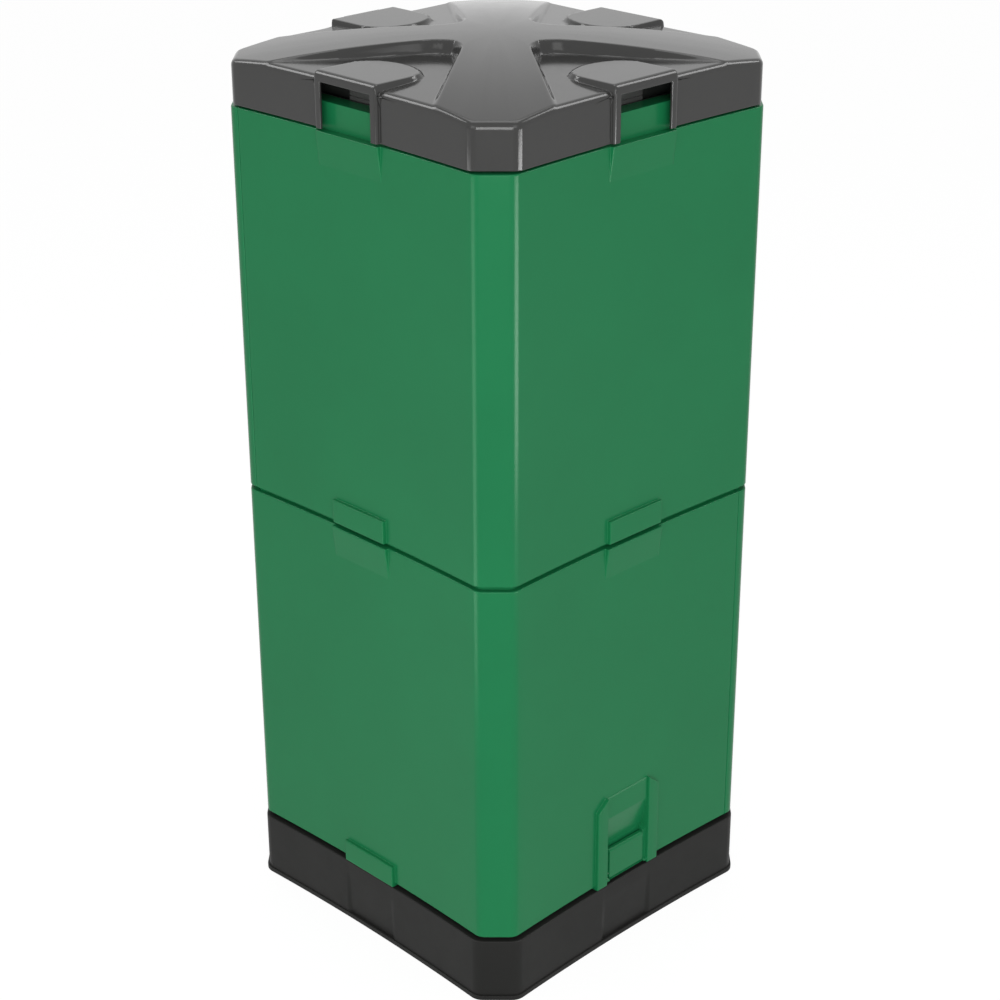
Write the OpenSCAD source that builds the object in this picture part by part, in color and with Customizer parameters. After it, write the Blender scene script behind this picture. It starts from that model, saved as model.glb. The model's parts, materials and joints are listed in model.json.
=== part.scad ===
// Insulated composter: square double-walled bin in two tiers of L-shaped panels,
// on a tray base with a drain tap, with a vented core and a hinged, insulated lid.
// +Z is up, the origin is at the middle of the footprint on the ground,
// the front is the -Y face and the lid hinges at the +Y face.

/* [Overall] */
// Width over two opposite green faces, at the corners
wall_w = 520; // [500:5:600]
// Leg of the flat that cuts each upright corner
corner_leg = 34; // [30:1:40]
// Rounding where that flat meets the faces
corner_r = 14; // [10:1:18]
// How far the middle of each face lies behind its corners
face_dish = 6; // [4:0.5:6.5]

/* [Walls] */
// Height of the lower tier's outer face
lower_h = 523; // [440:1:600]
// Height of the upper tier's outer face
upper_h = 533.5; // [440:0.5:600]
// Open line between the two tiers
tier_gap = 6.5; // [4:0.5:8]
// Whole thickness of a wall, skin, foam and liner
wall_t = 39; // [38:0.5:42]
// Thickness of the outer skin
skin_t = 3.5; // [3:0.25:4]
// Thickness of the inner liner
liner_t = 3; // [2.5:0.25:4]
// Leg of the flat in the liner's corners
inner_leg = 32; // [30:1:38]
// Rounding beside the flat in the liner's corners
inner_r = 8; // [5:1:12]
// Distance of a seam from the face round the corner
seam_in = 48; // [46:1:60]
// Overlap of the two panels at a seam
lap_w = 18; // [14:1:20]
// Overlap of the two panels at the upper tier's screwed seams
lap_up = 40; // [38:1:44]
// Running gap in a seam
lap_gap = 0.4; // [0.3:0.05:0.6]
// Depth of the lap's outer half from the face
lap_split = 20; // [19:0.5:21]

/* [Wall details] */
// Step in from the face to the neck under the lid
neck_in = 13; // [11:0.5:14]
// Height of the neck
neck_h = 35; // [30:1:40]
// Height of the tongue that hangs into the lower tier
tongue_h = 27; // [20:1:34]
// Height of the pad that fades down from a tier's top edge
boss_h = 45; // [30:1:60]
// Height of the pad at a tier's bottom edge
tab_h = 32.5; // [20:0.5:44]
// Half width of the bottom pads
tab_half = 50; // [40:1:54]
// Drop of the bottom pads below the wall's edge
tab_drop = 4.5; // [3:0.25:5]
// Depth of the seat ring behind the face
seat_in = 8; // [7:0.5:9]
// Width of the ledge that the lid's seal closes on
ledge_w = 31; // [29:0.5:33]
// Thickness of that ledge
ledge_t = 3; // [2:0.25:4]
// Depth of that ledge below the neck's top
ledge_down = 21; // [19:0.5:23]

/* [Base] */
// Height of the base's rim above the ground
base_h = 95; // [88:0.5:110]
// Open line between rim and wall
base_gap = 6; // [5:0.25:7]
// How far the rim stands proud of the walls
rim_out = 4; // [2:0.5:5]
// How far the foot flange stands proud of the walls
foot_out = 6; // [5:0.5:7]
// Height of the foot flange
foot_h = 7; // [5:0.5:10]
// Thickness of the base's plastic
base_t = 3.5; // [3:0.25:4.5]
// Leg of the flat on the base's corners
base_leg = 40; // [36:1:44]
// Height of the well's floor above the ground
well_z = 13; // [9:0.5:16]
// Height of the collar inside the walls, above the wall's foot
collar_h = 28; // [20:1:40]
// Gap between collar and liner
collar_gap = 2; // [1.5:0.25:3]
// Thickness of the drain plate
grate_t = 4; // [3:0.5:6]
// Width of one drain slot
slot_w = 6; // [4:0.5:8]
// Length of one drain slot
slot_len = 34; // [24:1:40]
// Height of the air slot over the foot flange
vent_h = 6; // [4:0.5:8]
// Depth of the shallow panel in the base's face
panel_in = 2.5; // [1.5:0.25:3]

/* [Tap] */
// Height of the tap's axis
tap_z = 40; // [36:1:44]
// Outer radius of the tap's thread
tap_thread_r = 9; // [7:0.5:10]
// Radius of the hose tail
hose_r = 6.5; // [5:0.25:8]
// Width of the opening in the base for the tap
tap_bay_w = 84; // [76:1:96]

/* [Core] */
// Outer radius of the vented core
core_r = 50; // [40:1:60]
// Wall of the core
core_t = 3; // [2.5:0.25:4]
// Length of each of the two core tubes
core_len = 470; // [380:5:480]
// Slot rows in each core tube
core_rows = 9; // [6:1:9]
// Slots round the core in each row
core_slots = 8; // [6:1:8]

/* [Lid] */
// How far the skirt's corners stand out past the wall's faces
lid_out = 0.5; // [0:0.25:1]
// Leg of the flat on the lid's corners
lid_leg = 40; // [36:1:42]
// Rounding beside that flat
lid_r = 16; // [12:1:18]
// Open line between skirt and wall
lid_gap = 3; // [2:0.25:4]
// Height of the lid from its skirt's lower edge to its crown
lid_h = 89; // [86:0.5:100]
// Drop of the dome from its crown to the corners
dome_drop = 32; // [28:0.5:34]
// Thickness of the lid's shell
lid_t = 3.5; // [3:0.25:4]
// Depth of a sunk panel below the crown, at the skirt
panel_drop = 25; // [23.5:0.25:26]
// Rise of a sunk panel towards the crown
panel_rise = 7; // [6:0.5:8]
// Distance of a sunk panel's point from the crown
panel_r0 = 72; // [66:1:84]
// Half width of a sunk panel at its point
panel_half0 = 18; // [15:0.5:24]
// Half width of a sunk panel at the skirt
panel_half1 = 169; // [150:1:175]
// Drop of the side pads' tops below the crown
pad_drop = 16.5; // [16:0.25:17.5]
// Length of the side pads, inwards from the face
pad_len = 103; // [80:1:110]
// Width of the finger notches
notch_w = 92; // [88:1:96]
// Width of the jambs beside a notch
jamb_w = 12; // [11:0.5:16]
// Height of the lip over a notch
lip_h = 13.5; // [12:0.5:15]
// How far the lid's plug reaches out over the ledge
plug_over = 13; // [12:0.5:14]
// Thickness of the lid's liner
plug_t = 2.5; // [2:0.25:3.5]
// Thickness of the lid's seal
seal_t = 3.7; // [3:0.1:4]

/* [Hinge] */
// Distance of the hinge axis outside the wall's face
hinge_out = 0.8; // [0.6:0.1:1.2]
// Distance of the hinge axis below the skirt's lower edge
hinge_down = 10.5; // [10:0.25:13]
// Radius of the hinge knuckles
knuckle_r = 5; // [4.5:0.1:5.1]
// Radius of the hinge pin
hinge_pin_r = 2.5; // [2:0.1:3]
// Running clearance of pins in their bores
pin_gap = 0.06; // [0.03:0.01:0.1]
// Half length of the hinge pin
hinge_half = 45; // [40:1:50]
// Thickness of the hinge leaves
leaf_t = 2.8; // [2.5:0.1:3]

/* [Catches] */
// Half width of a catch
catch_half = 38; // [30:1:42]
// Thickness of a catch, inwards
catch_t = 9; // [8:0.25:9.5]
// Gap between a catch's face and the neck
catch_gap = 2.5; // [2:0.25:3]
// Height of the catch pin above the neck's top
catch_up = 17; // [14:0.5:18]
// Radius of the catch pins
catch_pin_r = 2; // [1.5:0.1:2.2]
// Height of a catch's body above the ledge
catch_clear = 9.5; // [8:0.5:12]

/* [Release clip] */
// Half width of the clip's opening
clip_bay_half = 42; // [38:1:44]
// Width of the uprights beside the opening
upright_w = 20; // [16:1:24]
// Half width of the clip
clip_half = 34; // [28:1:36]
// Height of the clip's top above the wall's foot
clip_top = 49; // [40:1:56]
// Thickness of the clip
clip_t = 7; // [5:0.5:8]
// Depth of the finger recess at its foot
recess_in = 10; // [8:0.5:12]
// Height of the finger recess's foot above the wall's foot
recess_low = 56; // [54:1:64]
// Height of the uprights above the wall's foot
upright_h = 137; // [125:1:150]
// Drop of the uprights' tops towards their outer edges
upright_slope = 16; // [8:1:24]
// Height of the plain plate over the recess
plate_h = 33; // [26:1:36]
// Height of the clip's pin above the wall's foot
clip_pin_up = 9; // [7:0.5:11]
// Radius of the clip's pin
clip_pin_r = 2; // [1.5:0.1:2.2]

/* [Fasteners] */
// Radius of the screws' shanks
screw_r = 2.25; // [2:0.05:2.4]
// Radius of the screws' heads
screw_head_r = 5; // [4:0.25:5]
// Height of the screws' heads
screw_head_h = 2.6; // [2:0.1:3]

/* [Hidden] */

eps = 0.01;
// How far a cutter runs past the face that it cuts
past = 1;
round_fn = 48;
dome_fn = 360;
// A span larger than the whole object, for cutting
far = 1000;
// Flats along half of a dished face, and along each rounded corner
dish_n = 4;
arc_n = 4;
// Distances of the main faces from the middle
half_w = wall_w / 2;
inner_a = half_w - wall_t;
foam_in_a = inner_a + liner_t;
split_a = half_w - lap_split;
seam_u = half_w - seam_in;
rim_a = half_w + rim_out;
foot_a = half_w + foot_out;
collar_a = inner_a - collar_gap;
well_a = collar_a - base_t;
neck_a = half_w - neck_in;
// The tongue clears the loose panel's corners as that draws out along the diagonal
tongue_slack = inner_r * tan(22.5) / 2 + 0.35;
tongue_a = split_a - tongue_slack;
ledge_a = inner_a - ledge_w;
plug_a = ledge_a + plug_over;
lid_a = half_w + lid_out;

z_foot = base_h + base_gap;
z_lower = z_foot + lower_h;
z_upper = z_lower + tier_gap;
z_shoulder = z_upper + upper_h;
z_neck = z_shoulder + neck_h;
z_tongue = z_upper - tongue_h;
// Free height under the tongue, and over the loose panel's seat and liner
rabbet_gap = 2;
z_rabbet = z_tongue - rabbet_gap;
seat_slip = 0.3;
z_skirt = z_shoulder + lid_gap;
z_crown = z_skirt + lid_h;
z_pad = z_crown - pad_drop;
z_notch = z_pad - lip_h;
z_ledge = z_neck - ledge_down;
// Height of the lid's plug over the ledge, with the seal and its free play between them
seal_play = 0.3;
z_plug = z_ledge + seal_t + seal_play;

corner_d = sqrt(2) * (half_w - corner_leg / 2);
dome_r = (corner_d * corner_d + dome_drop * dome_drop) / (2 * dome_drop);
panel_tilt = atan(panel_rise / (half_w - panel_r0));
pad_half = notch_w / 2 + jamb_w;

// Leg of a corner flat after its outline moves inwards by d
function off_leg(leg, d) = leg - d * (2 - sqrt(2));

// Outline of a square with flat, rounded corners and dished sides
function arc_pts(c, r, a0, a1) =
    [for (i = [0 : arc_n]) let (a = a0 + (a1 - a0) * i / arc_n) c + r * [cos(a), sin(a)]];
function side_pts(h, w, dish) =
    dish == 0 ? [] :
    [for (i = [-dish_n + 1 : dish_n - 1]) let (t = i / dish_n) [t * w, -h + dish * (1 - t * t)]];
function quarter_pts(h, leg, r, dish) =
    let (t = r * tan(22.5), w = h - leg - t)
    concat(
        side_pts(h, w, dish),
        arc_pts([w, -h + r], r, -90, -45),
        arc_pts([h - r, -w], r, -45, 0)
    );
function turn(p, a) = [p[0] * cos(a) - p[1] * sin(a), p[0] * sin(a) + p[1] * cos(a)];
function plan_pts(h, leg, r, dish) =
    [for (k = [0 : 3]) for (p = quarter_pts(h, leg, r, dish)) turn(p, 90 * k)];

// Outline at depth d behind the walls' outer face
least_r = 3;
module outer_plan(d = 0) {
    polygon(plan_pts(half_w - d, off_leg(corner_leg, d), max(corner_r - d, least_r), face_dish));
}

// Flat-sided outline of half width h
module inner_plan(h) {
    polygon(plan_pts(h, inner_leg, inner_r, 0));
}

module lid_plan(d = 0) {
    polygon(plan_pts(lid_a - d, off_leg(lid_leg, d), lid_r - d, face_dish));
}

module base_plan(h) {
    polygon(plan_pts(h, base_leg, corner_r, face_dish));
}

// Repeats a front-face feature on chosen faces: 0 front, 1 right, 2 back, 3 left
module on_faces(faces) {
    for (k = faces) rotate([0, 0, 90 * k]) children();
}

// A block on the front face: half width, depths from the centre plane, heights
module front_block(half, a_in, a_out, z0, z1) {
    translate([-half, -a_out, z0]) cube([2 * half, a_out - a_in, z1 - z0]);
}

// A prism across the front face, from its outline in depth and height
module front_prism(half, pts) {
    translate([-half, 0, 0])
        rotate([90, 0, 90])
            linear_extrude(2 * half) polygon(pts);
}

// Plan of the front L panel: e shrinks its ends and lips, for the foam inside.
// The lip at the front seam is the outer one, the lip at the back seam the inner
// one, so the panel draws out along the near diagonal.
module front_mask(e, lap) {
    m = split_a;
    s = seam_u;
    polygon([
        [-far, -far], [s - e, -far], [s - e, -m - e], [s - lap - e, -m - e],
        [s - lap - e, -m / 2], [-s + lap - e, m / 2], [-s + lap - e, m - e],
        [-s - e, m - e], [-s - e, far], [-far, far]
    ]);
}

module back_mask(e, lap) {
    m = split_a;
    s = seam_u;
    f = e + lap_gap;
    polygon([
        [far, far], [-s + f, far], [-s + f, m + f], [-s + lap + f, m + f],
        [-s + lap + f, m / 2], [s - lap + f, -m / 2], [s - lap + f, -m + f],
        [s + f, -m + f], [s + f, -far], [far, -far]
    ]);
}

// The upper tier's panels are the lower ones mirrored across the near diagonal
module tier_mask(tier, side, e) {
    if (tier == "lower") side_mask(side, e, lap_w);
    else mirror([1, -1, 0]) side_mask(side, e, lap_up);
}

module side_mask(side, e, lap) {
    if (side == "front") front_mask(e, lap);
    else back_mask(e, lap);
}

// A ring of wall between two heights, cut to one panel
module slab(tier, side, z0, z1, e, out_d = -1, out_flat = 0, in_flat = 0) {
    translate([0, 0, z0])
        linear_extrude(z1 - z0)
            intersection() {
                difference() {
                    if (out_d >= 0) outer_plan(out_d);
                    else inner_plan(out_flat);
                    inner_plan(in_flat);
                }
                tier_mask(tier, side, e);
            }
}

// Wall volume outside the liner; e is the depth below its surface
module lower_volume(side, e) {
    slab("lower", side, z_foot + e, z_rabbet - e, e, out_d = e, in_flat = foam_in_a);
    slab("lower", side, z_rabbet - e - eps, z_lower - e, e, out_d = e, in_flat = split_a + e);
}

module upper_volume(side, e) {
    slab("upper", side, z_tongue + e, z_upper + e + eps, e, out_flat = tongue_a - e, in_flat = foam_in_a);
    slab("upper", side, z_upper + e, z_shoulder - e, e, out_d = e, in_flat = foam_in_a);
    slab("upper", side, z_shoulder - e - eps, z_neck - e, e, out_flat = neck_a - e, in_flat = foam_in_a);
}

// The lower tier's seat for the upper one
module seat_ring(side) {
    top = side == "back" ? z_upper : z_upper - seat_slip;
    slab("lower", side, z_lower - eps, top, 0, out_d = seat_in, in_flat = split_a);
}

// Pad that fades down from a tier's top edge, flush with the corners
module top_boss(z, half) {
    front_prism(half, [
        [-half_w + skin_t + face_dish - eps, z - boss_h],
        [-half_w + face_dish, z - boss_h],
        [-half_w, z],
        [-half_w + skin_t + face_dish - eps, z]
    ]);
}

// Pad at a tier's bottom edge, with a ledge on top
module bottom_tab(z) {
    front_block(tab_half, half_w - face_dish - skin_t + eps, half_w, z, z + tab_h);
}

// Screw along +X from its head's underside, with the head behind the origin
module screw(len) {
    rotate([0, 90, 0]) translate([0, 0, -screw_head_h]) {
        cylinder(r = screw_r, h = len + screw_head_h, $fn = round_fn);
        cylinder(r = screw_head_r, h = screw_head_h, $fn = round_fn);
    }
}

module screw_bore(len) {
    rotate([0, 90, 0]) cylinder(r = screw_r + pin_gap, h = len, $fn = round_fn);
}

// Places of the screws: a seam's three lie clear of the lap's end by head_room
head_room = 3;
seam_screw_u = seam_u - lap_up + screw_head_r + head_room;
seam_screw_z = [for (share = [0.12, 0.5, 0.88]) z_upper + upper_h * share];
module at_seam_screws() {
    for (z = seam_screw_z) {
        translate([-inner_a, seam_screw_u, z]) rotate([0, 0, 180]) children();
        translate([inner_a, -seam_screw_u, z]) children();
    }
}

// Four screws through the two back walls, at half depth a
tie_u = half_w / 2;
module at_back_ties(a, z) {
    for (u = [-tie_u, tie_u]) {
        translate([a, u, z]) children();
        translate([u, a, z]) rotate([0, 0, 90]) children();
    }
}
z_tier_screw = (z_tongue + z_upper) / 2 - rabbet_gap;
z_base_screw = z_foot + collar_h / 2;
tie_len = lap_split;

/* base */

// Plinth: outer skirt, foot flange, deck, the seat for the walls, and floor ribs
module base_ring() {
    skin_in = rim_a - base_t;
    rib_a = rim_a - face_dish;
    color("#3a3a3a") difference() {
        union() {
            linear_extrude(base_h) difference() {
                base_plan(rim_a);
                base_plan(skin_in);
            }
            linear_extrude(foot_h) difference() {
                base_plan(foot_a);
                base_plan(skin_in);
            }
            translate([0, 0, base_h - base_t]) linear_extrude(base_t) difference() {
                base_plan(skin_in + eps);
                inner_plan(collar_a + tray_gap);
            }
            translate([0, 0, base_h - eps]) linear_extrude(base_gap + eps) difference() {
                outer_plan(seat_in);
                inner_plan(collar_a + tray_gap);
            }
            for (k = [0, 1]) rotate([0, 0, 90 * k])
                for (u = [-1, 1])
                    translate([-rib_a, u * tie_u - base_t / 2, 0])
                        cube([2 * rib_a, base_t, well_z]);
            // Backing for the shallow panels in the faces
            on_faces([0, 1, 2, 3])
                front_block(panel_half, panel_a - 2 * base_t, panel_a, foot_h, base_h - base_t);
        }
        // Shallow panels that deepen towards the foot, and an air slot in one of them
        on_faces([0, 1, 2, 3])
            front_prism(panel_half, [
                [-panel_a - past, base_h * panel_top],
                [-panel_a, base_h * panel_top],
                [-panel_a + panel_in, foot_h + vent_h],
                [-panel_a + panel_in, foot_h + eps],
                [-panel_a - past, foot_h + eps]
            ]);
        on_faces([1])
            front_block(panel_half - panel_vent_edge, panel_a - 3 * base_t, foot_a,
                        foot_h + eps, foot_h + vent_h);
        // Bay for the tap in the back face
        on_faces([2])
            front_block(tap_bay_w / 2, collar_a + eps, foot_a + past, foot_h, base_h - tap_bay_down);
    }
}
// Gap round the tray's collar, the panels' faces and their height as a share of the rim's
tray_gap = 0.3;
panel_a = rim_a - face_dish;
panel_half = 52;
panel_top = 0.8;
panel_vent_edge = 4;
tap_bay_down = 15;

// Tray for the liquid: floor, collar inside the walls, and a ledge for the drain plates
module liquid_tray() {
    color("#3a3d3b") difference() {
        union() {
            translate([0, 0, well_z]) linear_extrude(z_foot + collar_h - well_z) difference() {
                inner_plan(collar_a);
                inner_plan(well_a);
            }
            translate([0, 0, well_z]) linear_extrude(base_t) inner_plan(well_a + eps);
            translate([0, 0, z_plate_ledge - plate_ledge_h]) linear_extrude(plate_ledge_h) difference() {
                inner_plan(well_a + eps);
                inner_plan(well_a - plate_ledge_w);
            }
        }
        translate([0, 0, well_z - past])
            cylinder(r = pipe_r + pipe_gap, h = base_t + 2 * past, $fn = round_fn);
        translate([0, well_a - past, tap_z]) rotate([-90, 0, 0])
            cylinder(r = tap_thread_r + pin_gap, h = base_t + 2 * past, $fn = round_fn);
        at_back_ties(well_a - eps, z_base_screw) screw_bore(base_t + past);
    }
}
// Ledge that the drain plates lie on, by its height, its width and its depth below the walls' foot
plate_ledge_h = 4;
plate_ledge_w = 8;
plate_down = 16;
z_plate_ledge = z_foot - plate_down;

// Pipe that leads air from under the tray up into the core
pipe_gap = 0.1;
pipe_r = core_r - core_t - 4 * pipe_gap;
pipe_up = 18;
pipe_flange_w = 3;
module air_pipe() {
    color("#3a3d3b") difference() {
        union() {
            translate([0, 0, well_z]) cylinder(r = pipe_r, h = z_foot + pipe_up - well_z, $fn = round_fn);
            translate([0, 0, well_z + base_t]) cylinder(r = pipe_r + pipe_flange_w, h = base_t, $fn = round_fn);
        }
        translate([0, 0, well_z - past])
            cylinder(r = pipe_r - base_t, h = z_foot + pipe_up - well_z + 2 * past, $fn = round_fn);
    }
}

// Half of the slotted floor that the compost stands on; side is 1 for the right half
plate_margin = 12;
plate_slit = 8;
plate_fit = 0.5;
module drain_plate(side) {
    pitch_x = slot_len + plate_margin;
    pitch_y = slot_w * 3;
    nx = floor((well_a - 2 * plate_margin - slot_len) / pitch_x);
    ny = floor((well_a - 2 * plate_margin) / pitch_y);
    color("#3c3c3c")
        translate([0, 0, z_plate_ledge]) linear_extrude(grate_t) difference() {
            intersection() {
                inner_plan(well_a - plate_fit);
                translate([side > 0 ? plate_slit / 2 : -far - plate_slit / 2, -far / 2]) square(far);
            }
            circle(r = pipe_r + plate_fit, $fn = round_fn);
            for (i = [0 : nx]) for (j = [-ny : ny]) {
                x0 = plate_margin + i * pitch_x;
                y0 = j * pitch_y;
                if (norm([x0, y0]) > core_r + plate_margin
                    && x0 + slot_len + abs(y0) < 2 * (well_a - plate_margin) - inner_leg)
                    translate([side > 0 ? x0 : -x0 - slot_len, y0 - slot_w / 2]) square([slot_len, slot_w]);
            }
        }
}
module drain_plate_left() { drain_plate(-1); }
module drain_plate_right() { drain_plate(1); }

/* tap */

tap_flange_r = tap_thread_r + 6;
tap_flange_t = 3;
gasket_t = 2;
nut_t = 6;
tap_body_y = collar_a + gasket_t;
tap_body_len = 22;
// Thread that stands past the nut, and the bore's wall in the hose tail
tap_end = 3;
tap_wall = 2;
hose_short = 1;
// Place, wall and height of the lever's socket
lever_r = 4;
lever_y = tap_body_y + tap_body_len / 2 + 1;
socket_wall = 2.5;
socket_h = tap_thread_r + 3;
// Lever: running gap over the socket, head, and arm
lever_gap = 0.3;
lever_head = 3;
lever_t = 4;
lever_len = 28;
lever_w = 8;
module tap_body() {
    color("#242424") difference() {
        union() {
            translate([0, tap_body_y, tap_z]) rotate([-90, 0, 0]) {
                cylinder(r = tap_flange_r, h = tap_flange_t, $fn = round_fn);
                cylinder(r = tap_thread_r, h = tap_body_len, $fn = round_fn);
                cylinder(r = hose_r, h = foot_a - tap_body_y - hose_short, $fn = round_fn);
            }
            translate([0, well_a - nut_t - tap_end, tap_z]) rotate([-90, 0, 0])
                cylinder(r = tap_thread_r, h = tap_body_y - well_a + nut_t + tap_end + eps, $fn = round_fn);
            translate([0, lever_y, tap_z])
                cylinder(r = lever_r + socket_wall, h = socket_h, $fn = round_fn);
        }
        translate([0, well_a - nut_t - tap_end - past, tap_z]) rotate([-90, 0, 0])
            cylinder(r = hose_r - tap_wall, h = foot_a, $fn = round_fn);
        translate([0, lever_y, tap_z]) cylinder(r = lever_r + pin_gap, h = far, $fn = round_fn);
    }
}

module tap_lever() {
    z0 = tap_z + socket_h + lever_gap;
    color("#b3261e") {
        translate([0, lever_y, tap_z + hose_r])
            cylinder(r = lever_r, h = z0 - tap_z - hose_r + eps, $fn = round_fn);
        translate([0, lever_y, z0]) cylinder(r = lever_r + lever_head, h = lever_t, $fn = round_fn);
        translate([-lever_len, lever_y - lever_w / 2, z0]) cube([lever_len, lever_w, lever_t]);
    }
}

module tap_gasket() {
    color("#161616")
        translate([0, collar_a, tap_z]) rotate([-90, 0, 0])
            difference() {
                cylinder(r = tap_flange_r, h = gasket_t, $fn = round_fn);
                translate([0, 0, -past])
                    cylinder(r = tap_thread_r + pin_gap, h = gasket_t + 2 * past, $fn = round_fn);
            }
}

module tap_nut() {
    color("#242424")
        translate([0, well_a, tap_z]) rotate([90, 0, 0])
            difference() {
                cylinder(r = tap_flange_r, h = nut_t, $fn = 6);
                translate([0, 0, -past])
                    cylinder(r = tap_thread_r + pin_gap, h = nut_t + 2 * past, $fn = round_fn);
            }
}

/* lower tier */

// Room that the clip housing takes up in the front panel
bay_depth = 16;
bay_in = half_w - face_dish - bay_depth;
module clip_bay_block(a_in) {
    front_block(clip_bay_half + upright_w, a_in, half_w + past, z_foot - past, z_foot + upright_h);
}

module lower_front_foam() {
    color("#e9e6dc") difference() {
        lower_volume("front", skin_t);
        clip_bay_block(bay_in - skin_t);
    }
}

module lower_front_shell() {
    color("#2e784c") difference() {
        union() {
            lower_volume("front", 0);
            seat_ring("front");
            on_faces([0, 3]) top_boss(z_lower, low_boss_half);
            on_faces([3]) bottom_tab(z_foot - tab_drop);
        }
        lower_volume("front", skin_t);
        clip_bay_block(foam_in_a - past);
    }
}
// Half width of the lower tier's top bosses
low_boss_half = tab_half + 3;

// Insert in the front panel's foot that carries the release clip
module clip_housing() {
    color("#2e784c") difference() {
        union() {
            intersection() {
                clip_bay_block(bay_in - skin_t);
                slab("lower", "front", z_foot, z_lower, 0, out_d = 0, in_flat = foam_in_a);
            }
            clip_surround();
        }
        clip_pocket();
        clip_pin_hole();
    }
}

// Uprights and plate round the release clip
module clip_surround() {
    out_half = clip_bay_half + upright_w;
    root = half_w - face_dish - skin_t;
    for (u = [-1, 1])
        translate([0, -root, 0]) rotate([90, 0, 0]) linear_extrude(half_w - root)
            polygon([
                [u * clip_bay_half, z_foot - tab_drop], [u * out_half, z_foot - tab_drop],
                [u * out_half, z_foot + upright_h - upright_slope], [u * clip_bay_half, z_foot + upright_h]
            ]);
    front_block(clip_bay_half + eps, root, clip_a, z_plate, z_plate + plate_h);
}

// Finger recess with a sloped top, and the pocket behind the clip
module clip_pocket() {
    front_prism(clip_bay_half, [
        [-half_w - past, z_foot - past], [-bay_in, z_foot + skin_t],
        [-bay_in, z_foot + recess_low - recess_shelf], [-clip_a + recess_in, z_foot + recess_low],
        [-clip_a, z_plate], [-half_w - past, z_plate]
    ]);
}
recess_shelf = 4;

// Face of the clip and of the plate over it, and the plate's foot
clip_proud = 2;
clip_a = half_w - face_dish + clip_proud;
plate_down_in = 2;
z_plate = z_foot + upright_h - plate_h - plate_down_in;
// Pin of the clip: its axis and how far it runs into the uprights
clip_pin_back = 0.5;
clip_pin_in = 8;
clip_pin_a = clip_a - clip_t / 2 - clip_pin_back;
z_clip_pin = z_foot + clip_pin_up;
clip_pin_half = clip_bay_half + clip_pin_in;
module clip_pin_hole() {
    translate([-clip_pin_half, -clip_pin_a, z_clip_pin]) rotate([0, 90, 0])
        cylinder(r = clip_pin_r + eps, h = 2 * clip_pin_half, $fn = round_fn);
}

module clip_pin() {
    color("#8a8d90")
        translate([-clip_pin_half, -clip_pin_a, z_clip_pin]) rotate([0, 90, 0])
            cylinder(r = clip_pin_r, h = 2 * clip_pin_half, $fn = round_fn);
}

// Clip: gap under its foot, bevel of its top edge, and the rib behind that edge
clip_foot_gap = 3;
clip_bevel = 3;
clip_rib_t = 3;
clip_rib_h = 6;
clip_rib_down = 4;
module release_clip() {
    foot = z_foot + clip_foot_gap;
    top = z_foot + clip_top;
    color("#2e784c") difference() {
        union() {
            front_prism(clip_half, [
                [-clip_a, foot], [-clip_a, top - clip_bevel],
                [-clip_a + clip_bevel / 3, top - clip_bevel / 3], [-clip_a + clip_bevel, top],
                [-clip_a + clip_t, top], [-clip_a + clip_t, foot]
            ]);
            front_block(clip_half - clip_rib_down, clip_a - clip_t - clip_rib_t, clip_a - clip_t + eps,
                        top - clip_rib_down - clip_rib_h, top - clip_rib_down);
        }
        translate([-far / 2, -clip_pin_a, z_clip_pin]) rotate([0, 90, 0])
            cylinder(r = clip_pin_r + pin_gap, h = far, $fn = round_fn);
    }
}

module lower_front_liner() {
    color("#3a3d3b")
        slab("lower", "front", z_foot + seat_slip, z_rabbet, 0, out_flat = foam_in_a, in_flat = inner_a);
}

module lower_back_foam() {
    color("#e9e6dc") difference() {
        lower_volume("back", skin_t);
        back_screw_bores();
    }
}

module back_screw_bores() {
    at_back_ties(inner_a - past, z_tier_screw) screw_bore(tie_len + liner_t + past);
    at_back_ties(inner_a - past, z_base_screw) screw_bore(tie_len);
}

module lower_back_shell() {
    color("#2e784c") difference() {
        union() {
            lower_volume("back", 0);
            seat_ring("back");
            on_faces([1, 2]) {
                top_boss(z_lower, low_boss_half);
                bottom_tab(z_foot - tab_drop);
            }
        }
        lower_volume("back", skin_t);
        back_screw_bores();
    }
}

module lower_back_liner() {
    color("#3a3d3b") difference() {
        slab("lower", "back", z_foot, z_rabbet, 0, out_flat = foam_in_a, in_flat = inner_a);
        back_screw_bores();
    }
}

/* upper tier */

module upper_bores() {
    at_back_ties(inner_a - past, z_tier_screw) screw_bore(tie_len + liner_t + past);
    at_seam_screws() translate([-past, 0, 0]) screw_bore(lap_split + skin_t + past);
}

module upper_foam(side) {
    color("#e9e6dc") difference() {
        upper_volume(side, skin_t);
        upper_bores();
        if (side == "back") hinge_screw_bores();
    }
}

module upper_shell(side, boss_faces, tab_faces) {
    color("#2e784c") difference() {
        union() {
            upper_volume(side, 0);
            on_faces(boss_faces) top_boss(z_shoulder, pad_half);
            on_faces(tab_faces) bottom_tab(z_upper);
        }
        upper_volume(side, skin_t);
        upper_bores();
        if (side == "back") hinge_screw_bores();
    }
}

module upper_liner(side) {
    color("#3a3d3b") difference() {
        slab("upper", side, z_tongue, z_neck, 0, out_flat = foam_in_a, in_flat = inner_a);
        upper_bores();
    }
}

// Ring inside the walls' top that the lid's seal closes on
module lid_ledge() {
    color("#3a3d3b")
        translate([0, 0, z_ledge - ledge_t]) linear_extrude(ledge_t) difference() {
            inner_plan(inner_a);
            inner_plan(ledge_a);
        }
}

module upper_front_shell() { upper_shell("front", [0, 3], [0, 3]); }
module upper_front_foam() { upper_foam("front"); }
module upper_front_liner() { upper_liner("front"); }
module upper_back_shell() { upper_shell("back", [1], [1, 2]); }
module upper_back_foam() { upper_foam("back"); }
module upper_back_liner() { upper_liner("back"); }

/* core */

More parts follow.
